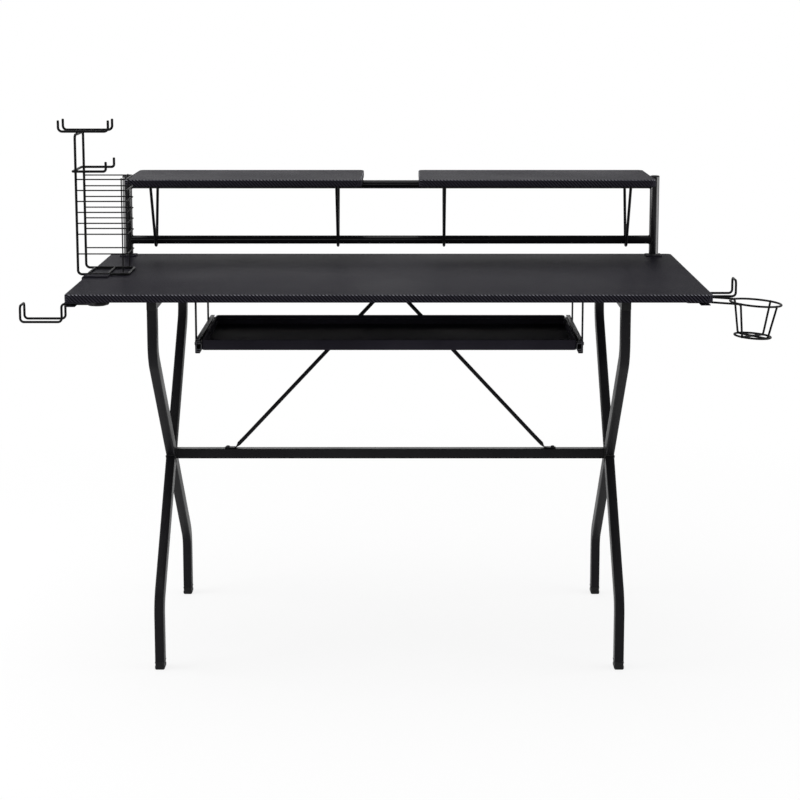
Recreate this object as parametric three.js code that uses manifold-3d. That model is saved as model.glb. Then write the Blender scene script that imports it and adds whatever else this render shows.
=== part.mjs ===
// A computer desk on two crossed leg frames, with a sliding keyboard tray, a raised pair of
// monitor shelves, a clamp-on wire rack, two headset hooks and a wire cup holder.
// Millimetres. X runs to the right, Y to the back, Z up. While it is built, X = 0 is the middle
// of the desktop, Y = 0 its front edge and Z = 0 the floor.

import * as THREE from 'three';
import { mergeVertices } from 'three/addons/utils/BufferGeometryUtils.js';
import Module from 'manifold-3d';

const wasm = await Module();
wasm.setup();

// ---- Driving dimensions ----

const seatGap = 0.3;            // left between two pieces that seat on each other
const overrun = 1;              // how far a cutter or a joined end runs past a face
const wireSides = 8;            // sides of a wire's section
const thinWireSides = 6;
const tubeSides = 20;           // sides of a round tube
const discSides = 24;
const holeSides = 12;
const bendFacet = 23;           // most degrees that one facet of a bend turns

// Desktop
const deskWidth = 1200;
const deskDepth = 600;
const deskHeight = 740;         // floor to the top of the board
const boardThickness = 15;
const boardCorner = 12;         // plan radius of the corners
const boardEdge = 2.5;          // rounding of the laminate over the edges

// Leg frames
const legInset = 157;           // desktop's end to the middle of the leg tube
const legTubeWide = 18;         // along X
const legTubeDeep = 30;         // in the plane of the frame
const legTubeRound = 3;
const tubeWall = 1.2;
const legTopInset = 50;         // desktop's front or rear edge to the middle of a leg's top
const frontFootInset = 70;      // the same, to the middle of a foot
const rearFootInset = 40;
const upperBendDrop = 124;      // desktop's top to the upper bends
const lowerBendRise = 130;      // floor to the lower bends
const legBendRadius = 60;
const topRailHigh = 20;
const footCapHigh = 15;
const footCapLip = 0.5;         // how far the cap stands out round the tube
const footCapRound = 4;
const footPlugHigh = 20;        // the cap's plug inside the tube

// Crossbar, top stretcher and braces
const barSize = 20;             // square tube
const barRound = 2;
const braceRod = 8;
const braceFootAt = 323;        // from the middle of the desk
const braceTopAt = 16;
const bracePad = 24;            // length of the flattened ends
const bracePadWide = 14;
const bracePadThick = 2.5;
const bracePadHoleIn = 6;       // middle of the pad to its hole, away from the rod
const braceRodLap = 4;          // from the pad's rod end to where the rod ends
const braceTrayGap = 62;        // rear of the tray to the middle of the top stretcher
const braceBracketWide = 64;
const braceBracketHigh = 26;
const braceBracketThick = 2.5;

// Hutch
const postInset = 42;           // desktop's end to the middle of the post
const postRearInset = 35;
const postDiameter = 20;
const postHigh = 168;           // above the desktop, without its cap
const postCapHigh = 3;
const postCapBevel = 1.5;
const postCapPlug = 6;          // depth of the plug inside the post
const railDiameter = 18;
const lowerRailRise = 34.5;     // desktop to the middle of the lower rail
const flangeWide = 34;
const flangeDeep = 40;
const flangeThick = 2.5;
const flangeCorner = 4.5;
const flangeHoleInset = 4.5;    // front or rear edge to the middle of a screw hole
const shelfDepth = 240;
const shelfThickness = 15;
const shelfBottomRise = 161.5;  // desktop to the underside of the shelves
const shelfRearOverhang = 75;   // behind the middle of the rails
const shelfPostGap = 7;         // end of a shelf to the inner side of its post
const shelfMiddleGap = 117;
const propWire = 6;
const propHugGap = 0.6;         // between the rail and the hairpin round it
const propOuterInset = 42;      // shelf's outer end to its outer prop
const propInnerInset = 54;      // shelf's inner end to its inner prop
const propFrontReach = 80;      // rail to the prop's front end
const propRearReach = 46;
const propTabLong = 22;
const propTabWide = 12;
const propTabThick = 2.5;
const propTabCorner = 3;
const propTabHoleInset = 8;     // end of the tab to the middle of its hole
const screwHole = 4.5;

// Wire rack at the left end
const rackToShelf = 42;         // rear wires to the front edge of the shelves
const rackDepth = 100;
const rackWidth = 98;
const rackOverhang = 15;        // upright wires beyond the desktop's end
const rackHigh = 277;           // desktop to the middle of the top wire
const rackWire = 5;
const rackBend = 8;
const crossWire = 4;
const crossWireAt = [18, 58];   // from the uprights
const gridWire = 2.6;
const gridLowest = 43;          // desktop to the lowest shelf wire
const gridFirst = 82;           // desktop to the second shelf wire
const gridStep = 21.6;
const gridStepped = 6;          // shelf wires at that step
const barbHigh = 22;            // upturned ends of the top bars
const topBarLong = 98;
const topBarOverhang = 36;      // beyond the uprights
const topBarInset = 22;         // from the front and rear uprights
const sideHookRise = 206;
const sideHookReach = 60;       // uprights to the upturned ends
const sideHookHigh = 19;

// Rack clamp
const clampWide = 30;
const clampThick = 3;
const clampReach = 48;          // onto the desktop
const clampJaw = 40;            // inside height
const clampScrewInset = 25;
const screwDiameter = 8;
const knobDiameter = 46;
const knobHigh = 11;
const knobEdge = 3.2;
const knobGap = 3;              // knob to the bracket
const knobLobes = 8;
const lobeDeep = 1.3;
const lobeSteps = 4;            // facets along one lobe
const padDiameter = 20;
const padHigh = 6;
const padSocketDeep = 3;

// Headset hooks
const hookWire = 4.5;
const leftHookFromFront = 37;   // desktop's front edge to the middle of the hook
const rightHookFromFront = 133;
const hookSpan = 42;            // between its two wires
const hookBend = 7;
const wireUnderDesk = 44;       // length of wire held under the board
const leftHookOut = 7;          // desktop's end to the drop
const leftHookDrop = 34;
const leftHookReach = 77;
const hookTipHigh = 30;
const rightHookReach = 59;

// The plates that hold the hooks and the cup holder
const mountPlateThick = 1.5;
const mountPlateLong = 48;
const mountPlateMargin = 13;    // beyond the wires
const strapWide = 18;
const mountPlateInset = 2;      // desktop's end to the plate
const mountPlateHoleInset = 6;  // the plate's inner corners to its screw holes
const bossDiameter = 12;

// Cup holder
const cupWire = 4;
const cupFromFront = 69;
const cupOut = 90;              // desktop's end to the middle of the cup ring
const cupRingDiameter = 96;
const cupBaseDiameter = 68;
const cupDeep = 63;
const cupDroop = 4;             // degrees
const cupBend = 6;
const ringSteps = 28;           // facets round the cup holder's rings

// Keyboard tray
const trayFromFront = 80;
const trayDepth = 300;
const trayToLegs = 79;          // side of the tray to the inner face of the leg tubes
const trayDrop = 83;            // underside of the desktop to the top of the lip
const trayLip = 20;
const traySheet = 1.5;
const trayRound = 6;
const slideHigh = 26;
const slideWide = 12;
const slideSheet = 1.2;
const slideStagger = 1.6;       // each slide member sits this much further in
const hangerThick = 2;
const hangerWide = 20;
const hangerFoot = 22;
const hangerInset = 35;         // from the slide's ends to the middle of a hanger

// ---- Places that follow from them ----

const boardBottom = deskHeight - boardThickness;
const legX = deskWidth / 2 - legInset;
const legInner = legX - legTubeWide / 2;
const railTop = boardBottom - seatGap;
const railBottom = railTop - topRailHigh;
const legTop = railBottom - seatGap;
const legBottom = footCapHigh + seatGap;
const upperBend = deskHeight - upperBendDrop;
const lowerBend = lowerBendRise;
const frontTop = legTopInset;
const rearTop = deskDepth - legTopInset;
const frontFoot = frontFootInset;
const rearFoot = deskDepth - rearFootInset;

// Where the two diagonals of a leg frame cross.
const crossShare = (rearTop - frontTop) / ((rearTop - frontTop) + (rearFoot - frontFoot));
const crossY = frontTop + (rearFoot - frontTop) * crossShare;
const crossZ = upperBend + (lowerBend - upperBend) * crossShare;

const postX = deskWidth / 2 - postInset;
const postY = deskDepth - postRearInset;
const flangeBottom = deskHeight + seatGap;
const postBottom = flangeBottom + flangeThick + seatGap;
const postTop = deskHeight + postHigh;
const lowerRailZ = deskHeight + lowerRailRise;
const shelfBottom = deskHeight + shelfBottomRise;
const upperRailZ = shelfBottom - seatGap - railDiameter / 2;
const shelfOuter = postX - postDiameter / 2 - shelfPostGap;
const shelfInner = shelfMiddleGap / 2;
const shelfWidth = shelfOuter - shelfInner;
const shelfRear = postY + shelfRearOverhang;

const trayHalf = legInner - trayToLegs;
const trayTop = boardBottom - trayDrop;
const trayBottom = trayTop - trayLip;
const trayRear = trayFromFront + trayDepth;
const slideMiddleZ = trayTop - slideHigh / 2;
const stretcherY = trayRear + braceTrayGap;

const rackX = -(deskWidth / 2 + rackOverhang);
const rackEndX = rackX + rackWidth;
const rackRear = shelfRear - shelfDepth - rackToShelf;
const rackFront = rackRear - rackDepth;
const rackBaseZ = deskHeight + seatGap + rackWire / 2;
const rackTopZ = deskHeight + rackHigh;

// ---- Colours ----

const paintedSteel = { color: 0x1c1b1e, roughness: 0.45, metalness: 0.4 };
const carbonLaminate = { color: 0x424147, roughness: 0.5, metalness: 0.0 };
const blackPlastic = { color: 0x141416, roughness: 0.6, metalness: 0.0 };
const plainSteel = { color: 0x8c8f94, roughness: 0.35, metalness: 0.9 };
const darkZinc = { color: 0x3a3b3f, roughness: 0.35, metalness: 0.8 };

const desk = new THREE.Group();

function place(name, geometry, look, x = 0, y = 0, z = 0) {
  const mesh = new THREE.Mesh(geometry, new THREE.MeshStandardMaterial(look));
  mesh.name = name;
  mesh.position.set(x, y, z);
  desk.add(mesh);
}

// ---- Joining and cutting ----

function solidFrom(geometry) {
  const bare = geometry.clone();
  bare.deleteAttribute('normal');
  bare.deleteAttribute('uv');
  const merged = mergeVertices(bare, 1e-4);
  const mesh = new wasm.Mesh({
    numProp: 3,
    vertProperties: new Float32Array(merged.attributes.position.array),
    triVerts: new Uint32Array(merged.index.array),
  });
  return new wasm.Manifold(mesh);
}

function geometryFrom(solid) {
  const mesh = solid.getMesh();
  const geometry = new THREE.BufferGeometry();
  geometry.setAttribute('position', new THREE.BufferAttribute(mesh.vertProperties, 3));
  geometry.setIndex(new THREE.BufferAttribute(mesh.triVerts, 1));
  geometry.computeVertexNormals();
  return geometry;
}

function join(...geometries) {
  return geometryFrom(geometries.map(solidFrom).reduce((whole, next) => whole.add(next)));
}

function cut(geometry, ...cutters) {
  const whole = solidFrom(geometry);
  return geometryFrom(cutters.map(solidFrom).reduce((left, cutter) => left.subtract(cutter), whole));
}

// ---- Shapes ----

function block(x0, x1, y0, y1, z0, z1) {
  const geometry = new THREE.BoxGeometry(x1 - x0, y1 - y0, z1 - z0);
  return geometry.translate((x0 + x1) / 2, (y0 + y1) / 2, (z0 + z1) / 2);
}

// An upright cylinder.
function disc(x, y, z0, z1, diameter, sides = discSides) {
  const geometry = new THREE.CylinderGeometry(diameter / 2, diameter / 2, z1 - z0, sides);
  return geometry.rotateX(Math.PI / 2).translate(x, y, (z0 + z1) / 2);
}

// A screw hole down through a plate.
function screwBore(x, y, bottom, top) {
  return disc(x, y, bottom - overrun, top + overrun, screwHole, holeSides);
}

function roundedRectangle(wide, high, round) {
  const right = wide / 2;
  const top = high / 2;
  const shape = new THREE.Shape();
  shape.absarc(right - round, top - round, round, 0, Math.PI / 2);
  shape.absarc(round - right, top - round, round, Math.PI / 2, Math.PI);
  shape.absarc(round - right, round - top, round, Math.PI, Math.PI * 1.5);
  shape.absarc(right - round, round - top, round, Math.PI * 1.5, Math.PI * 2);
  shape.closePath();
  return shape;
}

function circle(diameter) {
  return new THREE.Shape().absarc(0, 0, diameter / 2, 0, Math.PI * 2);
}

function hollow(outer, inner) {
  outer.holes.push(inner);
  return outer;
}

// A centreline of straight runs and round bends, with a station only where one begins or turns.
// For a section that isn't round, the section's height stays along the side direction.
class BentLine extends THREE.Curve {
  constructor(corners, bendRadius, side = null) {
    super();
    this.side = side;
    const points = corners.map((corner) => new THREE.Vector3(...corner));
    const heading = (i) => points[i + 1].clone().sub(points[i]).normalize();
    this.stations = [{ point: points[0], tangent: heading(0) }];
    for (let i = 1; i < points.length - 1; i++) {
      const before = heading(i - 1);
      const after = heading(i);
      const turn = before.angleTo(after);
      const axis = before.clone().cross(after).normalize();
      const start = points[i].clone().addScaledVector(before, -bendRadius * Math.tan(turn / 2));
      const inward = axis.clone().cross(before);
      const centre = start.clone().addScaledVector(inward, bendRadius);
      const steps = Math.ceil(turn / THREE.MathUtils.degToRad(bendFacet));
      for (let step = 0; step <= steps; step++) {
        const angle = turn * step / steps;
        const spoke = start.clone().sub(centre).applyAxisAngle(axis, angle);
        this.stations.push({
          point: centre.clone().add(spoke),
          tangent: before.clone().applyAxisAngle(axis, angle),
        });
      }
    }
    this.stations.push({ point: points.at(-1), tangent: heading(points.length - 2) });
  }

  station(share) {
    return this.stations[Math.round(share * (this.stations.length - 1))];
  }

  getPointAt(share) {
    return this.station(share).point.clone();
  }

  getTangentAt(share) {
    return this.station(share).tangent.clone();
  }

  computeFrenetFrames(segments, closed) {
    if (!this.side) return super.computeFrenetFrames(segments, closed);
    const tangents = this.stations.map((station) => station.tangent);
    const binormals = tangents.map(() => this.side.clone());
    const normals = tangents.map((tangent) => this.side.clone().cross(tangent));
    return { tangents, normals, binormals };
  }
}

function sweep(shape, corners, bendRadius, side, curveSegments) {
  const extrudePath = new BentLine(corners, bendRadius, side);
  const steps = extrudePath.stations.length - 1;
  return new THREE.ExtrudeGeometry(shape, { extrudePath, steps, curveSegments });
}

function wire(diameter, corners, bendRadius = 0, sides = wireSides) {
  return sweep(circle(diameter), corners, bendRadius, null, sides / 2);
}

// A flat board lying on z = 0, centred on x and y, with its edges rounded over.
function board(wide, deep, thick, corner, edge) {
  return new THREE.ExtrudeGeometry(roundedRectangle(wide, deep, corner), {
    depth: thick - 2 * edge,
    bevelThickness: edge,
    bevelSize: edge,
    bevelOffset: -edge,
    bevelSegments: 2,
    curveSegments: 2,
  }).translate(0, 0, edge);
}

function plate(wide, deep, thick, corner) {
  return new THREE.ExtrudeGeometry(roundedRectangle(wide, deep, corner), {
    depth: thick,
    bevelEnabled: false,
    curveSegments: 2,
  });
}

// ---- Desktop ----

place('desktop', board(deskWidth, deskDepth, boardThickness, boardCorner, boardEdge),
  carbonLaminate, 0, deskDepth / 2, boardBottom);

// ---- Leg frames ----

const alongX = new THREE.Vector3(1, 0, 0);

// The section of a leg tube, grown all round by a margin.
function legSection(margin = 0) {
  const grow = 2 * margin;
  return roundedRectangle(legTubeDeep + grow, legTubeWide + grow, legTubeRound + margin);
}

function legTube(section, corners) {
  return sweep(section, corners.map(([y, z]) => [0, y, z]), legBendRadius, alongX, 1);
}

const mainLine = [[frontTop, legTop], [frontTop, upperBend], [rearFoot, lowerBend],
  [rearFoot, legBottom]];
const upperHalfLine = [[rearTop, legTop], [rearTop, upperBend], [crossY, crossZ]];
const lowerHalfLine = [[crossY, crossZ], [frontFoot, lowerBend], [frontFoot, legBottom]];
const tubeSection = () => hollow(legSection(), legSection(-tubeWall));
const aroundMain = legTube(legSection(seatGap), mainLine);

for (const [word, side] of [['left', -1], ['right', 1]]) {
  const x = side * legX;
  place(`${word}_leg_main_tube`, legTube(tubeSection(), mainLine), paintedSteel, x);
  for (const [part, line] of [['upper', upperHalfLine], ['lower', lowerHalfLine]]) {
    const half = cut(legTube(tubeSection(), line), aroundMain);
    place(`${word}_leg_${part}_tube`, half, paintedSteel, x);
  }

  const rail = hollow(roundedRectangle(topRailHigh, legTubeWide, barRound),
    roundedRectangle(topRailHigh - 2 * tubeWall, legTubeWide - 2 * tubeWall, barRound - tubeWall));
  const railEnds = [[0, frontTop - legTubeDeep / 2, 0], [0, rearTop + legTubeDeep / 2, 0]];
  place(`${word}_top_rail`, sweep(rail, railEnds, 0, alongX, 1), paintedSteel,
    x, 0, (railTop + railBottom) / 2);

  for (const [end, y] of [['front', frontFoot], ['rear', rearFoot]]) {
    place(`${word}_${end}_foot`, footCap(), blackPlastic, x, y);
  }
}

// A moulded foot: a shoe with a rounded sole, and a plug that fills the end of the tube.
function footCap() {
  const grow = 2 * footCapLip;
  const sole = Math.min(footCapRound, legTubeRound);
  const shoe = board(legTubeWide + grow, legTubeDeep + grow, footCapHigh + sole,
    legTubeRound + footCapLip, sole);
  const trim = block(-legTubeWide, legTubeWide, -legTubeDeep, legTubeDeep,
    footCapHigh, footCapHigh + 2 * sole);
  const shrink = 2 * (tubeWall + seatGap);
  const plug = plate(legTubeWide - shrink, legTubeDeep - shrink, footPlugHigh + overrun,
    legTubeRound - tubeWall).translate(0, 0, footCapHigh - overrun);
  return join(cut(shoe, trim), plug);
}

// ---- Crossbar, top stretcher and braces ----

const alongZ = new THREE.Vector3(0, 0, 1);

function squareTube(from, to) {
  const inner = barSize - 2 * tubeWall;
  const section = hollow(roundedRectangle(barSize, barSize, barRound),
    roundedRectangle(inner, inner, barRound - tubeWall));
  return sweep(section, [[from, 0, 0], [to, 0, 0]], 0, alongZ, 1);
}

const barReach = legInner - seatGap;
place('crossbar', squareTube(-barReach, barReach), paintedSteel, 0, crossY, crossZ);
place('top_stretcher', squareTube(-barReach, barReach), paintedSteel,
  0, stretcherY, railTop - barSize / 2);

// The bracket that hangs from the stretcher and takes the braces' upper ends.
const bracketTop = railTop - barSize - seatGap;
const bracketFront = stretcherY - braceBracketThick / 2;
const bracketRear = bracketFront + braceBracketThick;
const braceTopZ = bracketTop - braceBracketHigh / 2;
place('brace_bracket', cut(
  block(-braceBracketWide / 2, braceBracketWide / 2, bracketFront, bracketRear,
    bracketTop - braceBracketHigh, bracketTop),
  ...[-1, 1].map((side) => acrossBore(side * braceTopAt, bracketFront, bracketRear, braceTopZ)),
), paintedSteel);

// A screw hole through a plate that stands across Y.
function acrossBore(x, front, rear, z) {
  const radius = screwHole / 2;
  const bore = new THREE.CylinderGeometry(radius, radius, rear - front + 2 * overrun, holeSides);
  return bore.translate(x, (front + rear) / 2, z);
}

// A brace: a rod whose ends are flattened into pads. One lies on the crossbar, the other against
// the bracket's front face.
function brace(side) {
  const footZ = crossZ + barSize / 2 + seatGap;
  const footX = side * braceFootAt;
  const topX = side * braceTopAt;
  const padRear = bracketFront - seatGap;
  const padFront = padRear - bracePadThick;
  const half = bracePad / 2;
  const halfWide = bracePadWide / 2;
  const foot = block(footX - half, footX + half, crossY - halfWide, crossY + halfWide,
    footZ, footZ + bracePadThick);
  const tip = block(topX - halfWide, topX + halfWide, padFront, padRear,
    braceTopZ - half, braceTopZ + half);
  const rodFoot = [footX - side * (half - braceRodLap), crossY, footZ + bracePadThick / 2];
  const rodTip = [topX + side * (halfWide - braceRodLap / 2), (padFront + padRear) / 2,
    braceTopZ - (half - braceRodLap)];
  const rod = cut(wire(braceRod, [rodFoot, rodTip]),
    block(footX - bracePad, footX + bracePad, crossY - barSize, crossY + barSize,
      footZ - braceRod, footZ),
    block(topX - bracePad, topX + bracePad, padRear, padRear + braceRod,
      braceTopZ - bracePad, braceTopZ + bracePad));
  return cut(join(foot, tip, rod),
    screwBore(footX + side * bracePadHoleIn, crossY, footZ, footZ + bracePadThick),
    acrossBore(topX, padFront, padRear, braceTopZ));
}

place('left_brace', brace(-1), paintedSteel);
place('right_brace', brace(1), paintedSteel);

// ---- Hutch ----

// A round tube along a straight line.
function roundTube(diameter, from, to) {
  const section = hollow(circle(diameter), circle(diameter - 2 * tubeWall));
  return sweep(section, [from, to], 0, null, tubeSides / 2);
}

// A rail between the posts, coped where it meets them.
function hutchRail(z) {
  const posts = [-1, 1].map((side) => disc(side * postX, postY, z - railDiameter, z + railDiameter,
    postDiameter + 2 * seatGap, 2 * tubeSides));
  return cut(roundTube(railDiameter, [-postX, postY, z], [postX, postY, z]), ...posts);
}

// A pressed cap: a low head on the tube's end and a plug inside it.
function postCap() {
  const plug = postDiameter / 2 - tubeWall - seatGap;
  const head = postDiameter / 2;
  const profile = [[0, -postCapPlug], [plug, -postCapPlug], [plug, 0], [head, 0],
    [head, postCapHigh - postCapBevel], [head - postCapBevel, postCapHigh], [0, postCapHigh]];
  const points = profile.map(([r, z]) => new THREE.Vector2(r, z));
  return new THREE.LatheGeometry(points, tubeSides).rotateX(Math.PI / 2);
}

for (const [word, side] of [['left', -1], ['right', 1]]) {
  const x = side * postX;
  const holes = [-1, 1].map((end) => screwBore(0, end * (flangeDeep / 2 - flangeHoleInset),
    0, flangeThick));
  place(`${word}_post_flange`, cut(plate(flangeWide, flangeDeep, flangeThick, flangeCorner), ...holes),
    paintedSteel, x, postY, flangeBottom);
  place(`${word}_hutch_post`, roundTube(postDiameter, [0, 0, postBottom], [0, 0, postTop]),
    paintedSteel, x, postY);
  place(`${word}_post_cap`, postCap(), blackPlastic, x, postY, postTop + seatGap);
}

place('hutch_lower_rail', hutchRail(lowerRailZ), paintedSteel);
place('hutch_upper_rail', hutchRail(upperRailZ), paintedSteel);

// A hairpin prop: it hangs under the lower rail and opens upwards to two tabs under the shelf.
function prop(side) {
  const hug = (railDiameter + propWire) / 2 + propHugGap;
  const rise = shelfBottom - seatGap - propTabThick - lowerRailZ;
  const tangentAngle = (y, turn) => Math.atan2(rise, y) + turn * Math.acos(hug / Math.hypot(y, rise));
  const frontAngle = tangentAngle(-propFrontReach, 1);
  const rearAngle = tangentAngle(propRearReach, -1) + 2 * Math.PI;
  const middle = (frontAngle + rearAngle) / 2;
  const apex = hug / Math.cos((rearAngle - frontAngle) / 2);
  const weldZ = rise + propTabThick / 2;
  const rod = wire(propWire, [
    [0, -propFrontReach, weldZ],
    [0, apex * Math.cos(middle), apex * Math.sin(middle)],
    [0, propRearReach, weldZ],
  ], hug);
  const above = block(-propWire, propWire, -2 * propFrontReach, 2 * propFrontReach,
    rise + propTabThick, rise + propTabThick + propWire);
  const tabs = [-propFrontReach, propRearReach].map((y) => cut(
    plate(propTabLong, propTabWide, propTabThick, propTabCorner)
      .translate(side * (propTabLong - propWire) / 2, y, rise),
    screwBore(side * (propTabLong - propWire / 2 - propTabHoleInset), y, rise, rise + propTabThick)));
  return join(cut(rod, above), ...tabs);
}

for (const [word, side] of [['left', -1], ['right', 1]]) {
  const middle = side * (shelfOuter + shelfInner) / 2;
  place(`${word}_shelf`, board(shelfWidth, shelfDepth, shelfThickness, boardCorner, boardEdge),
    carbonLaminate, middle, shelfRear - shelfDepth / 2, shelfBottom);
  place(`${word}_outer_prop`, prop(side), paintedSteel,
    side * (shelfOuter - propOuterInset), postY, lowerRailZ);
  place(`${word}_inner_prop`, prop(-side), paintedSteel,
    side * (shelfInner + propInnerInset), postY, lowerRailZ);
}

// ---- Wire rack ----

// One closed loop: base on the desktop, two uprights and the top between them.
const weldY = (rackFront + rackRear) / 2;
const loopGap = seatGap / 2;
const rackLoop = wire(rackWire, [
  [rackEndX, weldY - loopGap, rackBaseZ],
  [rackEndX, rackFront, rackBaseZ],
  [rackX, rackFront, rackBaseZ],
  [rackX, rackFront, rackTopZ],
  [rackX, rackRear, rackTopZ],
  [rackX, rackRear, rackBaseZ],
  [rackEndX, rackRear, rackBaseZ],
  [rackEndX, weldY + loopGap, rackBaseZ],
], rackBend);
const butt = wire(rackWire + seatGap, [
  [rackEndX, weldY - rackWire / 2, rackBaseZ],
  [rackEndX, weldY + rackWire / 2, rackBaseZ],
]);
const crossWires = crossWireAt.map((from) => wire(crossWire, [
  [rackX + from, rackFront, rackBaseZ],
  [rackX + from, rackRear, rackBaseZ],
]));
place('rack_frame', join(rackLoop, butt, ...crossWires), paintedSteel);

// Thin shelf wires round three sides, tied together at their closed end.
const gridLevels = [gridLowest];
for (let i = 0; i < gridStepped; i++) gridLevels.push(gridFirst + i * gridStep);
const gridStart = rackX + rackWire / 2 + seatGap;
const gridLoops = gridLevels.map((level) => wire(gridWire, [
  [gridStart, rackFront, deskHeight + level],
  [rackEndX, rackFront, deskHeight + level],
  [rackEndX, rackRear, deskHeight + level],
  [gridStart, rackRear, deskHeight + level],
], rackBend, thinWireSides));
const tieX = rackEndX - rackBend - gridWire / 2;
const ties = [rackFront + gridWire / 2, rackRear - gridWire / 2].map((y) => wire(gridWire, [
  [tieX, y, rackBaseZ + rackWire / 2 + seatGap],
  [tieX, y, deskHeight + gridLevels.at(-1) + gridWire],
], 0, thinWireSides));
place('rack_grid', join(...gridLoops, ...ties), paintedSteel);

// Two bars with upturned ends lie across the top.
const topBarZ = rackTopZ + rackWire + seatGap;
const topBarStart = rackX - topBarOverhang;
for (const [word, y] of [['front', rackFront + topBarInset], ['rear', rackRear - topBarInset]]) {
  place(`rack_${word}_top_bar`, wire(rackWire, [
    [topBarStart, y, topBarZ + barbHigh],
    [topBarStart, y, topBarZ],
    [topBarStart + topBarLong, y, topBarZ],
    [topBarStart + topBarLong, y, topBarZ + barbHigh],
  ], rackBend), paintedSteel);
}

// A hook that wraps round the uprights from the left, hugging them at its bends.
const hookClear = rackWire + seatGap;
const sideHookZ = deskHeight + sideHookRise;
place('rack_side_hook', wire(rackWire, [
  [rackX + sideHookReach, rackFront - hookClear, sideHookZ + sideHookHigh],
  [rackX + sideHookReach, rackFront - hookClear, sideHookZ],
  [rackX - hookClear, rackFront - hookClear, sideHookZ],
  [rackX - hookClear, rackRear + hookClear, sideHookZ],
  [rackX + sideHookReach, rackRear + hookClear, sideHookZ],
  [rackX + sideHookReach, rackRear + hookClear, sideHookZ + sideHookHigh],
], hookClear), paintedSteel);

// ---- Rack clamp ----

const clampY = rackFront - rackWire / 2 - seatGap - clampWide / 2;
const clampSpine = -(deskWidth / 2 + seatGap);
const clampTop = deskHeight + seatGap;
const jawBottom = clampTop - clampJaw;
const clampScrewX = -(deskWidth / 2 - clampScrewInset);
const clampEnd = clampSpine + clampReach;
const clampOutline = new THREE.Shape([
  [clampSpine - clampThick, clampTop + clampThick], [clampSpine - clampThick, jawBottom - clampThick],
  [clampEnd, jawBottom - clampThick], [clampEnd, jawBottom], [clampSpine, jawBottom],
  [clampSpine, clampTop], [clampEnd, clampTop], [clampEnd, clampTop + clampThick],
].map(([x, z]) => new THREE.Vector2(x, z)));
const clampBody = new THREE.ExtrudeGeometry(clampOutline, { depth: clampWide, bevelEnabled: false })
  .rotateX(Math.PI / 2).translate(0, clampY + clampWide / 2, 0);
const screwBush = disc(clampScrewX, clampY, jawBottom - clampThick - overrun, jawBottom + overrun,
  screwDiameter + 2 * seatGap);
place('clamp_bracket', cut(clampBody, screwBush), paintedSteel);

// Screw, knob and swivel pad, wound up against the underside of the desktop.
const padTop = boardBottom - seatGap;
const padBottom = padTop - padHigh;
const socketTop = padBottom + padSocketDeep;
const knobTop = jawBottom - clampThick - knobGap;
place('clamp_pad', cut(disc(0, 0, padBottom, padTop, padDiameter),
  disc(0, 0, padBottom - overrun, socketTop, screwDiameter + 2 * seatGap)),
blackPlastic, clampScrewX, clampY);
place('clamp_screw', disc(0, 0, knobTop + seatGap, socketTop - seatGap, screwDiameter), plainSteel,
  clampScrewX, clampY);

function knob() {
  const radius = knobDiameter / 2;
  const outline = new THREE.Shape();
  const steps = knobLobes * lobeSteps;
  for (let i = 0; i < steps; i++) {
    const angle = 2 * Math.PI * i / steps;
    const reach = radius - lobeDeep * (1 - Math.cos(knobLobes * angle)) / 2;
    outline[i ? 'lineTo' : 'moveTo'](reach * Math.cos(angle), reach * Math.sin(angle));
  }
  outline.closePath();
  return new THREE.ExtrudeGeometry(outline, {
    depth: knobHigh - 2 * knobEdge,
    bevelThickness: knobEdge,
    bevelSize: knobEdge,
    bevelOffset: -knobEdge,
    bevelSegments: 2,
  }).translate(0, 0, knobEdge);
}
place('clamp_knob', knob(), blackPlastic, clampScrewX, clampY, knobTop - knobHigh);

// ---- Headset hooks and cup holder ----

const between = (a, b) => [Math.min(a, b), Math.max(a, b)];
const hookSides = (fromFront) => [fromFront - hookSpan / 2, fromFront + hookSpan / 2];
const leftHookSides = hookSides(leftHookFromFront);
const rightHookSides = hookSides(rightHookFromFront);
const cupArm = cupRingDiameter / 2 * Math.SQRT1_2;
const cupSides = [cupFromFront - cupArm, cupFromFront + cupArm];

// A plate screwed under the board, with a strap that holds wires against it. Each boss stands
// between two wires and joins the strap to the plate.
function mountPlate(side, wires, bosses) {
  const outer = side * (deskWidth / 2 - mountPlateInset);
  const inner = outer - side * mountPlateLong;
  const strapInner = outer - side * strapWide;
  const low = Math.min(...wires) - mountPlateMargin;
  const high = Math.max(...wires) + mountPlateMargin;
  const top = boardBottom - seatGap;
  const bottom = top - mountPlateThick;
  const strapTop = bottom - hookWire - 2 * seatGap;
  const strapBottom = strapTop - mountPlateThick;
  const base = block(...between(outer, inner), low, high, bottom, top);
  const strap = block(...between(outer, strapInner), low, high, strapBottom, strapTop);
  const columns = bosses.map((y) => disc((outer + strapInner) / 2, y,
    strapTop - mountPlateThick / 2, bottom + mountPlateThick / 2, bossDiameter));
  const holeX = inner + side * mountPlateHoleInset;
  const holes = [low + mountPlateHoleInset, high - mountPlateHoleInset]
    .map((y) => screwBore(holeX, y, bottom, top));
  return cut(join(base, strap, ...columns), ...holes);
}

place('left_mount_plate', mountPlate(-1, leftHookSides, [leftHookFromFront]), paintedSteel);
place('right_mount_plate', mountPlate(1, [...cupSides, ...rightHookSides],
  [cupFromFront, rightHookFromFront]), paintedSteel);

const wireLevel = (diameter) => boardBottom - mountPlateThick - 2 * seatGap - diameter / 2;
const hookZ = wireLevel(hookWire);
const wireStart = deskWidth / 2 - wireUnderDesk;

// A hook is one wire: out along one side, up to its tip, across and back along the other side.
function hook(side, [near, far], corners) {
  const along = (y) => corners.map(([x, z]) => [side * x, y, hookZ + z]);
  return wire(hookWire, [...along(near), ...along(far).reverse()], hookBend);
}

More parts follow.
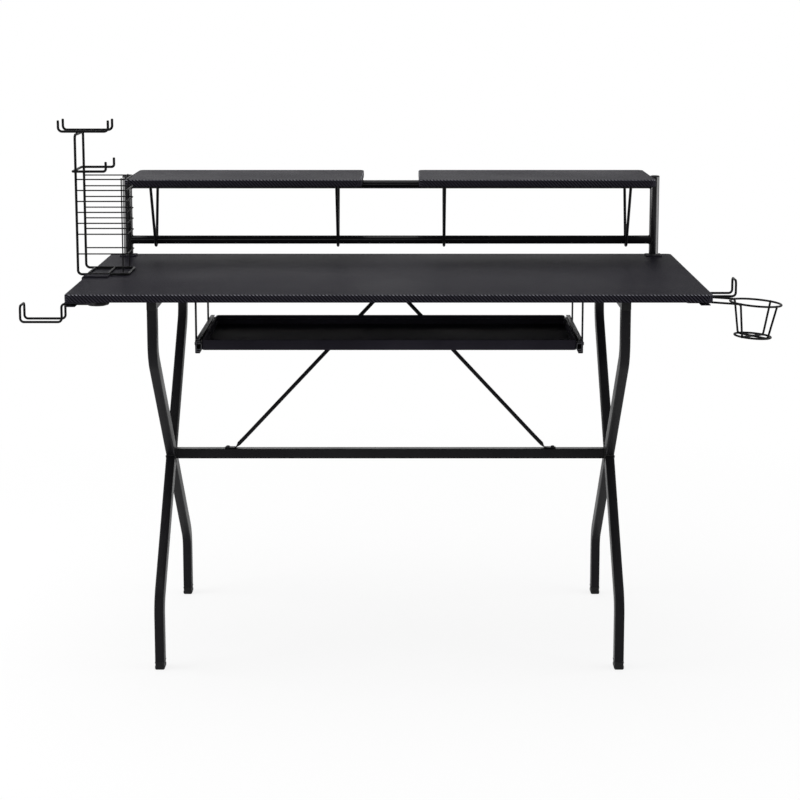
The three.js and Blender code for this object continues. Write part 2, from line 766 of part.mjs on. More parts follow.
const leftDropX = deskWidth / 2 + leftHookOut;
place('left_headset_hook', hook(-1, leftHookSides, [
  [wireStart, 0], [leftDropX, 0], [leftDropX, -leftHookDrop],
  [leftDropX + leftHookReach, -leftHookDrop], [leftDropX + leftHookReach, hookTipHigh - leftHookDrop],
]), paintedSteel);

const rightTipX = deskWidth / 2 + rightHookReach;
place('right_headset_hook', hook(1, rightHookSides, [
  [wireStart, 0], [rightTipX, 0], [rightTipX, hookTipHigh],
]), paintedSteel);

// The cup holder droops a little from the desktop's end. Its two arms run out under the rim,
// down, across the base as a cross and up again to the rim's far side.
const cupZ = wireLevel(cupWire);
const droop = THREE.MathUtils.degToRad(cupDroop);

function drooped(out, y, rise) {
  return [
    deskWidth / 2 + out * Math.cos(droop) + rise * Math.sin(droop),
    y,
    cupZ - out * Math.sin(droop) + rise * Math.cos(droop),
  ];
}

function cupRing(diameter, rise) {
  const ring = new THREE.TorusGeometry(diameter / 2, cupWire / 2, wireSides, ringSteps);
  return ring.rotateY(droop).translate(...drooped(cupOut, cupFromFront, rise));
}

function cupArmWire(side) {
  const foot = cupBaseDiameter / 2 * Math.SQRT1_2;
  const y = cupFromFront + side * cupArm;
  return wire(cupWire, [
    [wireStart, y, cupZ],
    [deskWidth / 2, y, cupZ],
    drooped(cupOut - cupArm, y, 0),
    drooped(cupOut - foot, cupFromFront + side * foot, -cupDeep),
    drooped(cupOut + foot, cupFromFront - side * foot, -cupDeep),
    drooped(cupOut + cupArm, cupFromFront - side * cupArm, 0),
  ], cupBend);
}

place('cup_holder', join(cupRing(cupRingDiameter, 0), cupRing(cupBaseDiameter, -cupDeep),
  cupArmWire(-1), cupArmWire(1)), paintedSteel);

// ---- Keyboard tray ----

// A folded sheet pan with a lip all round.
function pan() {
  const outside = plate(2 * trayHalf, trayDepth, trayLip, trayRound);
  const inside = plate(2 * (trayHalf - traySheet), trayDepth - 2 * traySheet, trayLip,
    trayRound - traySheet);
  return cut(outside, inside.translate(0, 0, traySheet));
}
place('keyboard_tray', pan(), paintedSteel, 0, trayFromFront + trayDepth / 2, trayBottom);

// A slide member is a channel along Y. Its back stands upright, and it opens to the other side.
function channel(high, wide, opensTo) {
  const half = high / 2;
  const lip = half - slideSheet;
  const back = -opensTo * wide / 2;
  const mouth = opensTo * wide / 2;
  const inner = back + opensTo * slideSheet;
  const outline = [[back, -half], [mouth, -half], [mouth, -lip], [inner, -lip],
    [inner, lip], [mouth, lip], [mouth, half], [back, half]];
  if (opensTo < 0) outline.reverse();
  const section = new THREE.Shape(outline.map(([x, z]) => new THREE.Vector2(x, z)));
  return new THREE.ExtrudeGeometry(section, { depth: trayDepth, bevelEnabled: false })
    .rotateX(Math.PI / 2).translate(0, trayRear, 0);
}

// An angle that hangs a slide from the board: a foot against the board and a strip down.
function hanger(side) {
  const top = boardBottom - seatGap - slideMiddleZ;
  const half = hangerWide / 2;
  const footBottom = top - hangerThick;
  const strip = block(...between(0, side * hangerThick), -half, half, -slideHigh / 2, top);
  const foot = block(...between(0, side * hangerFoot), -half, half, footBottom, top);
  const hole = screwBore(side * (hangerFoot + hangerThick) / 2, 0, footBottom, top);
  return cut(join(strip, foot), hole);
}

const memberWide = slideWide - 2 * slideStagger;
const memberDrop = 2 * (slideSheet + seatGap);
for (const [word, side] of [['left', -1], ['right', 1]]) {
  const inside = trayHalf + seatGap;
  const outerX = side * (inside + slideWide - memberWide / 2);
  const middleX = side * (inside + slideWide / 2);
  const innerX = side * (inside + memberWide / 2);
  place(`${word}_outer_slide`, channel(slideHigh, memberWide, -side), darkZinc, outerX, 0, slideMiddleZ);
  place(`${word}_middle_slide`, channel(slideHigh - memberDrop, memberWide, -side), plainSteel,
    middleX, 0, slideMiddleZ);
  place(`${word}_inner_slide`, channel(slideHigh - 2 * memberDrop, memberWide, side), plainSteel,
    innerX, 0, slideMiddleZ);
  for (const [end, y] of [['front', trayFromFront + hangerInset], ['rear', trayRear - hangerInset]]) {
    place(`${word}_${end}_hanger`, hanger(side), paintedSteel,
      side * (inside + slideWide + seatGap), y, slideMiddleZ);
  }
}

// ---- Origin: on the floor, in the middle of the space the desk takes up ----

const bounds = new THREE.Box3().setFromObject(desk, true);
const middle = bounds.getCenter(new THREE.Vector3());
desk.position.set(-middle.x, -middle.y, -bounds.min.z);

export default desk;
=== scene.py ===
import math
import bmesh
import bpy
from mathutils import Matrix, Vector


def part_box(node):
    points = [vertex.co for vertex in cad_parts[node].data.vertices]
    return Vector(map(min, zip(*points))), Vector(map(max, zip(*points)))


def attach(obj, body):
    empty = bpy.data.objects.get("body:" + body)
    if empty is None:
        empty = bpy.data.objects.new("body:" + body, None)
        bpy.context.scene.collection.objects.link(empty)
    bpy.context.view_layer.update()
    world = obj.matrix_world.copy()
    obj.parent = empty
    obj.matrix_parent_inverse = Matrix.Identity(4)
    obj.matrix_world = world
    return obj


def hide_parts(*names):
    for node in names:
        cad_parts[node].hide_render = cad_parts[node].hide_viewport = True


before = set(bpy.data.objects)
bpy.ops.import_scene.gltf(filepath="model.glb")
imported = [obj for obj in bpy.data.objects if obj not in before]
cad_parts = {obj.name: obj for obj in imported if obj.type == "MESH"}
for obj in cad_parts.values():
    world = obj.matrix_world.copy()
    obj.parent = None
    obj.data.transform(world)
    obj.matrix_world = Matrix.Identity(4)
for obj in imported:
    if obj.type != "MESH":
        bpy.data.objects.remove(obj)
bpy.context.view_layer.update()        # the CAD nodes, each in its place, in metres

scene = bpy.context.scene
mm = 0.001
right, back, up = Vector((1, 0, 0)), Vector((0, 1, 0)), Vector((0, 0, 1))
sides = (("left", -1), ("right", 1))


def middle(name):
    low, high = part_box(name)
    return (low + high) / 2


# camera: a little above the desktop, looking down on it from the front

camera = {
    "right": 0.0335,        # from the middle of the desktop
    "front": 3.591,         # from its front edge
    "high": 1.277,
    "pitch": 8.77,          # degrees down
    "lens": 88.6,
    "shiftX": -0.0085,
    "shiftY": -0.12,
    "farthest": 100,
}
deskLow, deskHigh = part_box("desktop")
cameraData = bpy.data.cameras.new("camera")
cameraData.lens = camera["lens"]
cameraData.shift_x = camera["shiftX"]
cameraData.shift_y = camera["shiftY"]
cameraData.clip_end = camera["farthest"]
cameraObject = bpy.data.objects.new("camera", cameraData)
cameraObject.location = (middle("desktop").x + camera["right"], deskLow.y - camera["front"], camera["high"])
cameraObject.rotation_euler = (math.radians(90 - camera["pitch"]), 0, 0)
scene.collection.objects.link(cameraObject)
scene.camera = cameraObject
print("camera placed")


# small helpers for node trees

def addNode(tree, kind, inputs=None, **settings):
    made = tree.nodes.new(kind)
    for name, value in settings.items():
        setattr(made, name, value)
    for name, value in (inputs or {}).items():
        if isinstance(value, bpy.types.NodeSocket):
            tree.links.new(value, made.inputs[name])
        else:
            made.inputs[name].default_value = value
    return made


# the same, for a node whose first output is all that is wanted
def first(tree, kind, inputs=None, **settings):
    return addNode(tree, kind, inputs, **settings).outputs[0]


def maths(tree, operation, a, b=0.0):
    return first(tree, "ShaderNodeMath", {0: a, 1: b}, operation=operation)


def times(tree, a, b):
    return maths(tree, "MULTIPLY", a, b)


def scaled(tree, value, fromLow, fromHigh, toLow, toHigh):
    return first(tree, "ShaderNodeMapRange", {0: value, 1: fromLow, 2: fromHigh, 3: toLow, 4: toHigh})


def mixed(tree, share, a, b):
    made = addNode(tree, "ShaderNodeMix", {0: share}, data_type="RGBA")
    for index, value in ((6, a), (7, b)):
        if isinstance(value, bpy.types.NodeSocket):
            tree.links.new(value, made.inputs[index])
        else:
            made.inputs[index].default_value = (*value, 1)
    return made.outputs[2]


def noise(tree, where, scale, detail=2.0):
    inputs = {"Vector": where, "Scale": scale, "Detail": detail}
    return addNode(tree, "ShaderNodeTexNoise", inputs).outputs["Fac"]


def bumped(tree, height, distance, strength, under=None):
    inputs = {"Height": height, "Distance": distance, "Strength": strength}
    if under is not None:
        inputs["Normal"] = under
    return first(tree, "ShaderNodeBump", inputs)


def stretched(tree, where, scale):
    return first(tree, "ShaderNodeMapping", {"Vector": where, "Scale": scale})


def axisOf(tree, vector, axis):
    return addNode(tree, "ShaderNodeSeparateXYZ", {0: vector}).outputs[axis]


def newMaterial(name, metallic=0.0, specular=0.5):
    material = bpy.data.materials.new(name)
    material.use_nodes = True
    tree = material.node_tree
    shader = tree.nodes["Principled BSDF"]
    shader.inputs["Metallic"].default_value = metallic
    shader.inputs["Specular IOR Level"].default_value = specular
    where = addNode(tree, "ShaderNodeTexCoord").outputs["Object"]
    return material, tree, shader, where


def finished(tree, shader, colour, rough, normal):
    for name, value in (("Base Color", colour), ("Roughness", rough), ("Normal", normal)):
        tree.links.new(value, shader.inputs[name])


# what every finish shares; a pair of noise values is where a mark starts and where it is full
marks = {
    "edgeTurn": (0.995, 0.9),   # cosine between the true face and the softened one
    "edgeSamples": 4,
    "upward": (0.4, 1.0),
    "gloss": (0.3, 0.7),
}


# 1 on a sharp convex edge, 0 on the flat
def edgeShare(tree, radius):
    soft = first(tree, "ShaderNodeBevel", {"Radius": radius}, samples=marks["edgeSamples"])
    true = addNode(tree, "ShaderNodeNewGeometry").outputs["Normal"]
    turned = addNode(tree, "ShaderNodeVectorMath", {0: soft, 1: true}, operation="DOT_PRODUCT")
    return scaled(tree, turned.outputs["Value"], *marks["edgeTurn"], 0.0, 1.0)


# 1 on faces that look up
def upShare(tree):
    true = addNode(tree, "ShaderNodeNewGeometry").outputs["Normal"]
    return scaled(tree, axisOf(tree, true, "Z"), *marks["upward"], 0.0, 1.0)


# baked coat on the tubes and plates: fine orange peel, thin on the edges, a breath of dust on top; on the
# plates the lighter worn edges are also a painted highlight along the edges

coat = {
    "clouds": (0.35, 0.65),
    "flecks": (0.66, 0.72),
    "fleckShare": 0.35,
    "wearScale": 90,
    "wears": (0.45, 0.62),
    "leastWear": 0.1,
    "dustScale": 23,
    "dusts": (0.4, 0.7),
    "peelStrength": 0.6,
}


def coatMaterial(name, look):
    material, tree, shader, where = newMaterial(name, specular=look["specular"])
    cloud = noise(tree, where, look["cloud"], 3)
    speck = noise(tree, where, look["speck"], 1)
    colour = mixed(tree, scaled(tree, cloud, *coat["clouds"], 0, 1), look["dark"], look["light"])
    colour = mixed(tree, scaled(tree, speck, *coat["flecks"], 0, coat["fleckShare"]), colour, look["fleck"])
    wornAndSheen = noise(tree, where, coat["wearScale"], 3)
    wornAndSheen = scaled(tree, wornAndSheen, *coat["wears"], coat["leastWear"], look["wear"])
    # lighter edges: wear, and on the plates also a painted highlight along the edges
    colour = mixed(tree, times(tree, edgeShare(tree, look["edge"]), wornAndSheen), colour, look["wornAndSheen"])
    dusty = scaled(tree, noise(tree, where, coat["dustScale"], 4), *coat["dusts"], 0, look["dust"])
    colour = mixed(tree, times(tree, upShare(tree), dusty), colour, look["dusty"])
    rough = scaled(tree, cloud, *marks["gloss"], *look["rough"])
    normal = bumped(tree, noise(tree, where, look["peel"], 2), look["peelDeep"], coat["peelStrength"])
    finished(tree, shader, colour, rough, normal)
    return material


hutchLook = {
    "dark": (0.0044, 0.0042, 0.0052), "light": (0.0064, 0.0062, 0.0073), "fleck": (0.015, 0.015, 0.0165),
    "wornAndSheen": (0.04, 0.04, 0.043), "dusty": (0.015, 0.015, 0.016), "rough": (0.09, 0.12),
    "specular": 0.45, "cloud": 9, "speck": 2600, "peel": 900, "peelDeep": 0.06 * mm,
    "edge": 1.2 * mm, "wear": 0.3, "dust": 0.08,
}
hutchCoat = coatMaterial("semiGlossCoat", hutchLook)
railCoat = coatMaterial("halfGlossCoat", {**hutchLook, "rough": (0.14, 0.18), "specular": 0.13})
steelCoat = coatMaterial("satinCoat", {
    "dark": (0.0065, 0.0063, 0.0075), "light": (0.0095, 0.0092, 0.0105), "fleck": (0.03, 0.03, 0.032),
    "wornAndSheen": (0.05, 0.05, 0.054), "dusty": (0.03, 0.03, 0.031), "rough": (0.34, 0.46),
    "specular": 0.07, "cloud": 9, "speck": 2600, "peel": 1100, "peelDeep": 0.12 * mm,
    "edge": 1.2 * mm, "wear": 0.35, "dust": 0.12,
})
# its light worn edges are partly wear and partly a painted highlight along the edges
plateCoat = coatMaterial("fineTextureCoat", {
    "dark": (0.0115, 0.0107, 0.0146), "light": (0.0172, 0.0161, 0.0218), "fleck": (0.03, 0.029, 0.036),
    "wornAndSheen": (0.1, 0.1, 0.11), "dusty": (0.02, 0.0195, 0.024), "rough": (0.66, 0.78),
    "specular": 0.014, "cloud": 7, "speck": 2200, "peel": 1500, "peelDeep": 0.16 * mm,
    "edge": 1.4 * mm, "wear": 0.6, "dust": 0.1,
})
wireCoat = coatMaterial("dippedCoat", {
    "dark": (0.005, 0.005, 0.0055), "light": (0.008, 0.008, 0.0085), "fleck": (0.02, 0.02, 0.02),
    "wornAndSheen": (0.02, 0.02, 0.02), "dusty": (0.015, 0.015, 0.015), "rough": (0.4, 0.5),
    "specular": 0.03, "cloud": 30, "speck": 1900, "peel": 600, "peelDeep": 0.1 * mm,
    "edge": 0.6 * mm, "wear": 0.3, "dust": 0.08,
})
weldCoat = coatMaterial("coatedWeld", {
    "dark": (0.006, 0.006, 0.0065), "light": (0.011, 0.0105, 0.011), "fleck": (0.03, 0.03, 0.03),
    "wornAndSheen": (0.03, 0.03, 0.03), "dusty": (0.03, 0.03, 0.03), "rough": (0.32, 0.44),
    "specular": 0.12, "cloud": 60, "speck": 2600, "peel": 900, "peelDeep": 0.18 * mm,
    "edge": 0.6 * mm, "wear": 0.2, "dust": 0.1,
})
print("coats mixed")


# film on the boards: a two-over-two twill pressed in satin film, read from the board's own wrapped map

film = {
    "tow": 1.7 * mm,            # width of one band of the weave
    "dark": (0.0026, 0.0024, 0.0037),
    "light": (0.0305, 0.0288, 0.0378),
    "side": 0.65,               # lightness of a raised band at its sides
    "domeAcross": 2.5,          # how flat a band's crown is, across and along
    "domeAlong": 3.0,
    "rub": (0.02, 0.0192, 0.0232),
    "rubScale": 3.5,
    "rubs": (0.4, 0.7),
    "rubShare": 0.12,
    "paintedGlint": (0.28, 0.278, 0.31),   # painted highlight: the crowns of the weave along the upper edges, lightened in the colour
    "glintFrom": (0.2, 0.5),        # how far the rounding has turned up
    "glintTo": (0.94, 0.99),
    "glintScale": 60,
    "glints": (0.3, 0.6),
    "leastGlint": 0.5,
    "crown": (0.1, 0.8),
    "specular": 0.002,
    "rough": (0.4, 0.48),
    "warpRough": -0.05,
    "press": 0.16 * mm,
    "pressStrength": 0.6,
    "grainScale": 3200,
    "grain": 0.02 * mm,
    "grainStrength": 0.5,
}


def filmMaterial():
    material, tree, shader, where = newMaterial("twillFilm", specular=film["specular"])
    wrapped = first(tree, "ShaderNodeUVMap", uv_map="wrap")
    towed = first(tree, "ShaderNodeVectorMath", {0: wrapped, 3: 1 / film["tow"]}, operation="SCALE")
    parts = addNode(tree, "ShaderNodeSeparateXYZ", {0: towed}).outputs
    column, row = (maths(tree, "FLOOR", parts[axis]) for axis in ("X", "Y"))
    inX, inY = maths(tree, "FRACT", parts["X"]), maths(tree, "FRACT", parts["Y"])
    phase = maths(tree, "FLOORED_MODULO", maths(tree, "ADD", column, row), 4.0)     # repeats every four bands
    warpUp = maths(tree, "LESS_THAN", phase, 1.5)                                   # two over, two under
    weftUp = maths(tree, "SUBTRACT", 1.0, warpUp)

    def chosen(warp, weft):
        return maths(tree, "ADD", times(tree, warpUp, warp), times(tree, weftUp, weft))

    across = chosen(inX, inY)
    along = maths(tree, "ADD", maths(tree, "SUBTRACT", phase, times(tree, weftUp, 2.0)), chosen(inY, inX))

    def dome(value, centre, power):
        off = maths(tree, "ABSOLUTE", times(tree, maths(tree, "SUBTRACT", value, centre), 1 / centre))
        return maths(tree, "SUBTRACT", 1.0, maths(tree, "POWER", off, power))

    height = times(tree, dome(across, 0.5, film["domeAcross"]), dome(along, 1.0, film["domeAlong"]))
    lightness = times(tree, warpUp, scaled(tree, height, 0.0, 1.0, film["side"], 1.0))
    cloud = noise(tree, where, film["rubScale"], 4)
    colour = mixed(tree, lightness, film["dark"], film["light"])
    colour = mixed(tree, scaled(tree, cloud, *film["rubs"], 0, film["rubShare"]), colour, film["rub"])
    # painted highlight: where the rounding of an upper edge turns up, the raised crowns of the weave are
    # lightened in patches
    tilt = axisOf(tree, addNode(tree, "ShaderNodeNewGeometry").outputs["Normal"], "Z")
    turnedUp = scaled(tree, tilt, *film["glintFrom"], 0, 1)
    glintBand = times(tree, turnedUp, scaled(tree, tilt, *film["glintTo"], 1, 0))
    glintPatches = scaled(tree, noise(tree, where, film["glintScale"], 2), *film["glints"], film["leastGlint"], 1)
    crown = times(tree, warpUp, scaled(tree, height, *film["crown"], 0, 1))
    colour = mixed(tree, times(tree, times(tree, glintBand, glintPatches), crown), colour, film["paintedGlint"])
    rough = scaled(tree, cloud, *marks["gloss"], *film["rough"])
    rough = maths(tree, "ADD", rough, times(tree, warpUp, film["warpRough"]))
    normal = bumped(tree, noise(tree, where, film["grainScale"], 1), film["grain"], film["grainStrength"])
    finished(tree, shader, colour, rough, bumped(tree, height, film["press"], film["pressStrength"], normal))
    return material


# plain paper under the boards
backing = {
    "dark": (0.008, 0.008, 0.009), "light": (0.016, 0.016, 0.017), "specular": 0.1, "rough": (0.55, 0.7),
    "fibre": (4, 60, 60), "fibreScale": 3, "tooth": 900, "toothDeep": 0.06 * mm, "toothStrength": 0.5,
}


def backingMaterial():
    material, tree, shader, where = newMaterial("backingPaper", specular=backing["specular"])
    fibre = noise(tree, stretched(tree, where, backing["fibre"]), backing["fibreScale"], 4)
    tooth = noise(tree, where, backing["tooth"], 2)
    tooth = bumped(tree, tooth, backing["toothDeep"], backing["toothStrength"])
    finished(tree, shader, mixed(tree, fibre, backing["dark"], backing["light"]),
             scaled(tree, fibre, *marks["gloss"], *backing["rough"]), tooth)
    return material


# moulded plastic with a spark-eroded grain
moulding = {
    "specular": 0.12, "rough": (0.48, 0.62), "cloud": 40,
    "cells": 1500, "cellDeep": 0.1 * mm, "cellStrength": 0.5,
    "edge": 1 * mm, "scuffScale": 200, "scuffs": (0.45, 0.6), "scuffShare": 0.5, "scuffLight": 4,
}


def plasticMaterial(name, dark, light):
    material, tree, shader, where = newMaterial(name, specular=moulding["specular"])
    cloud = noise(tree, where, moulding["cloud"], 3)
    inputs = {"Vector": where, "Scale": moulding["cells"]}
    cells = addNode(tree, "ShaderNodeTexVoronoi", inputs).outputs["Distance"]
    scuff = noise(tree, where, moulding["scuffScale"], 3)
    scuff = scaled(tree, scuff, *moulding["scuffs"], 0, moulding["scuffShare"])
    scuffed = tuple(moulding["scuffLight"] * part for part in light)
    colour = mixed(tree, cloud, dark, light)
    colour = mixed(tree, times(tree, edgeShare(tree, moulding["edge"]), scuff), colour, scuffed)
    finished(tree, shader, colour, scaled(tree, cloud, *marks["gloss"], *moulding["rough"]),
             bumped(tree, cells, moulding["cellDeep"], moulding["cellStrength"]))
    return material


# plated steel: spangle in the colour, fine drawn lines in the gloss
plating = {
    "spangle": 420, "spangleShare": 0.35, "drawn": (900, 12, 900), "drawnShare": 0.65, "drawnDeep": 0.03 * mm,
    "drawnStrength": 0.4, "stainScale": 35, "stains": (0.5, 0.75), "stainShare": 0.4, "stainDark": 0.55,
    "roughSpread": 0.16,
}


def platedMaterial(name, dark, light, rough, metallic=1.0, specular=0.5):
    material, tree, shader, where = newMaterial(name, metallic, specular)
    inputs = {"Vector": where, "Scale": plating["spangle"]}
    spangle = addNode(tree, "ShaderNodeTexVoronoi", inputs).outputs["Color"]
    lines = noise(tree, stretched(tree, where, plating["drawn"]), 1, 3)
    spangle, drawn = times(tree, spangle, plating["spangleShare"]), times(tree, lines, plating["drawnShare"])
    tone = maths(tree, "ADD", spangle, drawn)
    stain = noise(tree, where, plating["stainScale"], 4)
    stain = scaled(tree, stain, *plating["stains"], 0, plating["stainShare"])
    stained = tuple(plating["stainDark"] * part for part in dark)
    finished(tree, shader, mixed(tree, stain, mixed(tree, tone, dark, light), stained),
             scaled(tree, lines, *marks["gloss"], rough, rough + plating["roughSpread"]),
             bumped(tree, lines, plating["drawnDeep"], plating["drawnStrength"]))
    return material


twillFilm = filmMaterial()
backingPaper = backingMaterial()
blackMoulding = plasticMaterial("blackMoulding", (0.007, 0.007, 0.0075), (0.014, 0.014, 0.0145))
blackRubber = plasticMaterial("blackRubber", (0.012, 0.012, 0.012), (0.02, 0.02, 0.02))
brightZinc = platedMaterial("brightZinc", (0.36, 0.37, 0.39), (0.66, 0.67, 0.7), 0.26)
dullZinc = platedMaterial("dullZinc", (0.05, 0.05, 0.056), (0.13, 0.13, 0.142), 0.36, 0.6, 0.1)
blackZinc = platedMaterial("blackZinc", (0.016, 0.016, 0.0185), (0.05, 0.05, 0.055), 0.36, 0.15, 0.05)
print("materials mixed")


# Geometry Nodes trees

facets = {
    "wire": 18,             # sides
    "tube": 48,
    "wireBend": 9,          # steps
    "boxBend": 14,
    "boxCorner": 5,
    "corner": 6,
    "edge": 3,
    "crease": 35,           # degrees, from which an edge stays sharp
    "join": 0.01 * mm,      # points closer than this become one
}


def newTree(name, sockets):
    tree = bpy.data.node_groups.new(name, "GeometryNodeTree")
    face = tree.interface
    face.new_socket("Geometry", in_out="INPUT", socket_type="NodeSocketGeometry")
    face.new_socket("Geometry", in_out="OUTPUT", socket_type="NodeSocketGeometry")
    face.new_socket("Material", in_out="INPUT", socket_type="NodeSocketMaterial")
    for label, (kind, value) in sockets.items():
        socket = face.new_socket(label, in_out="INPUT", socket_type="NodeSocket" + kind)
        if value is not None:
            socket.default_value = value
    return tree, addNode(tree, "NodeGroupInput").outputs


# every tree ends the same way: real geometry, smooth but for its sharp edges, painted
def endTree(tree, source, geometry, sharp=facets["crease"]):
    real = first(tree, "GeometryNodeRealizeInstances", {0: geometry})
    smooth = first(tree, "GeometryNodeSetShadeSmooth", {0: real, 2: True}, domain="FACE")
    angle = first(tree, "GeometryNodeInputMeshEdgeAngle")
    inputs = {0: smooth, 1: maths(tree, "GREATER_THAN", angle, math.radians(sharp)), 2: False}
    creased = first(tree, "GeometryNodeSetShadeSmooth", inputs, domain="EDGE")
    inputs = {"Geometry": creased, "Material": source["Material"]}
    addNode(tree, "NodeGroupOutput", {0: first(tree, "GeometryNodeSetMaterial", inputs)})
    return tree


def named(tree, label, kind="FLOAT"):
    made = addNode(tree, "GeometryNodeInputNamedAttribute", {"Name": label}, data_type=kind)
    return made.outputs["Attribute"]


def eitherOf(tree, switch, whenOff, whenOn):
    inputs = {"Switch": switch, "False": whenOff, "True": whenOn}
    return first(tree, "GeometryNodeSwitch", inputs, input_type="GEOMETRY")


def rounded(tree, curve, count, radius):
    inputs = {"Curve": curve, "Count": count, "Radius": radius, "Limit Radius": True}
    return first(tree, "GeometryNodeFilletCurve", inputs, mode="POLY")


# a section swept along a bent line: a round wire or tube, or a rounded box section
def sweepTree():
    tree, source = newTree("sweptSection", {
        "Round": ("Bool", False), "Wide": ("Float", 20 * mm), "High": ("Float", 20 * mm),
        "Corner": ("Float", 2 * mm), "Sides": ("Int", 16),
        "Bend": ("Float", 10 * mm), "Bend Steps": ("Int", 8),
    })
    line = first(tree, "GeometryNodeMeshToCurve", {0: source["Geometry"]})
    isBent = maths(tree, "GREATER_THAN", source["Bend"], 0.0)
    bent = eitherOf(tree, isBent, line, rounded(tree, line, source["Bend Steps"], source["Bend"]))
    inputs = {"Width": source["Wide"], "Height": source["High"]}
    box = first(tree, "GeometryNodeCurvePrimitiveQuadrilateral", inputs)
    box = rounded(tree, box, facets["boxCorner"], source["Corner"])
    inputs = {"Resolution": source["Sides"], "Radius": times(tree, source["Wide"], 0.5)}
    ring = first(tree, "GeometryNodeCurvePrimitiveCircle", inputs)
    section = eitherOf(tree, source["Round"], box, ring)
    inputs = {"Curve": bent, "Profile Curve": section, "Scale": named(tree, "girth"), "Fill Caps": True}
    inputs = {"Geometry": first(tree, "GeometryNodeCurveToMesh", inputs), "Distance": facets["join"]}
    return endTree(tree, source, first(tree, "GeometryNodeMergeByDistance", inputs))


# drops of weld: along a line, or one on each given point
welding = {
    "overlap": 0.95,        # from drop to drop of a seam, in drop sizes
    "uneven": 0.2,          # how much single spots differ
    "ballSteps": 2,
    "crease": 80,
}


def weldTree():
    tree, source = newTree("weldDrops", {
        "On Line": ("Bool", True), "Drop": ("Float", 1.6 * mm), "Spacing": ("Float", 1.6 * mm),
        "Uneven": ("Float", 0.25), "Seed": ("Int", 3),
    })
    line = first(tree, "GeometryNodeMeshToCurve", {0: source["Geometry"]})
    inputs = {"Curve": line, "Length": source["Spacing"]}
    spaced = first(tree, "GeometryNodeResampleCurve", inputs, mode="LENGTH")
    places = eitherOf(tree, source["On Line"], source["Geometry"], spaced)
    inputs = {"Radius": source["Drop"], "Subdivisions": welding["ballSteps"]}
    ball = first(tree, "GeometryNodeMeshIcoSphere", inputs)
    inputs = {2: maths(tree, "SUBTRACT", 1.0, source["Uneven"]), 3: 1.0, "Seed": source["Seed"]}
    size = addNode(tree, "FunctionNodeRandomValue", inputs, data_type="FLOAT").outputs[1]
    inputs = {"Points": places, "Instance": ball, "Scale": size}
    return endTree(tree, source, first(tree, "GeometryNodeInstanceOnPoints", inputs), welding["crease"])


# a given head set on each point, facing the way the point says, each turned by its own angle
def screwTree():
    tree, source = newTree("screwHeads", {"Head": ("Object", None), "Seed": ("Int", 5)})
    head = addNode(tree, "GeometryNodeObjectInfo", {"Object": source["Head"]}).outputs["Geometry"]
    inputs = {"Vector": named(tree, "facing", "FLOAT_VECTOR")}
    facing = first(tree, "FunctionNodeAlignRotationToVector", inputs, axis="Z")
    inputs = {2: 0.0, 3: math.pi, "Seed": source["Seed"]}
    angle = addNode(tree, "FunctionNodeRandomValue", inputs, data_type="FLOAT").outputs[1]
    turn = first(tree, "FunctionNodeAxisAngleToRotation", {"Axis": (0, 0, 1), "Angle": angle})
    aimed = first(tree, "FunctionNodeRotateRotation", {0: facing, 1: turn}, rotation_space="LOCAL")
    inputs = {"Points": source["Geometry"], "Instance": head, "Rotation": aimed}
    return endTree(tree, source, first(tree, "GeometryNodeInstanceOnPoints", inputs))


# a rod with a rolled thread
thread = {
    "deep": 0.55,           # both as shares of the pitch
    "ridge": 0.52,
    "ridgeSides": 4,
    "perTurn": 20,
    "rodSides": 32,
    "crease": 50,
}


def threadTree():
    tree, source = newTree("rolledThread", {
        "Diameter": ("Float", 8 * mm), "Pitch": ("Float", 1.5 * mm), "Long": ("Float", 20 * mm),
        "Base": ("Vector", (0, 0, 0)),
    })
    radius, long = times(tree, source["Diameter"], 0.5), source["Long"]
    root = maths(tree, "SUBTRACT", radius, times(tree, source["Pitch"], thread["deep"]))
    turns = maths(tree, "DIVIDE", long, source["Pitch"])
    inputs = {"Resolution": thread["perTurn"], "Rotations": turns,
              "Start Radius": root, "End Radius": root, "Height": long}
    helix = first(tree, "GeometryNodeCurveSpiral", inputs)
    inputs = {"Resolution": thread["ridgeSides"], "Radius": times(tree, source["Pitch"], thread["ridge"])}
    ridge = first(tree, "GeometryNodeCurvePrimitiveCircle", inputs)
    inputs = {"Curve": helix, "Profile Curve": ridge, "Fill Caps": True}
    ridges = first(tree, "GeometryNodeCurveToMesh", inputs)
    inputs = {"Vertices": thread["rodSides"], "Radius": root, "Depth": long}
    rod = first(tree, "GeometryNodeMeshCylinder", inputs)
    half = first(tree, "ShaderNodeCombineXYZ", {2: times(tree, long, 0.5)})
    rod = first(tree, "GeometryNodeTransform", {"Geometry": rod, "Translation": half})
    both = addNode(tree, "GeometryNodeJoinGeometry", {0: rod})
    tree.links.new(ridges, both.inputs[0])
    inputs = {"Geometry": both.outputs[0], "Translation": source["Base"]}
    return endTree(tree, source, first(tree, "GeometryNodeTransform", inputs), thread["crease"])


sweptSection, weldDrops, screwHeads, rolledThread = sweepTree(), weldTree(), screwTree(), threadTree()


# a bare mesh of points, joined along each path, with one value or vector kept on each point
def pathHost(paths, closed=False, label="girth", values=None, joined=True):
    points = [point for path in paths for point in path]
    edges, start = [], 0
    for path in paths:
        last = start + len(path) - 1
        if joined:
            edges += [(i, i + 1) for i in range(start, last)]
            if closed:
                edges.append((last, start))
        start = last + 1
    mesh = bpy.data.meshes.new("host")
    mesh.from_pydata([tuple(point) for point in points], edges, [])
    values = values or [1.0] * len(points)
    if isinstance(values[0], float):
        mesh.attributes.new(label, "FLOAT", "POINT").data.foreach_set("value", values)
    else:
        flat = [part for value in values for part in value]
        mesh.attributes.new(label, "FLOAT_VECTOR", "POINT").data.foreach_set("vector", flat)
    return pieceOf("host", mesh)


def pieceOf(name, mesh):
    mesh.name = name
    piece = bpy.data.objects.new(name, mesh)
    scene.collection.objects.link(piece)
    return piece


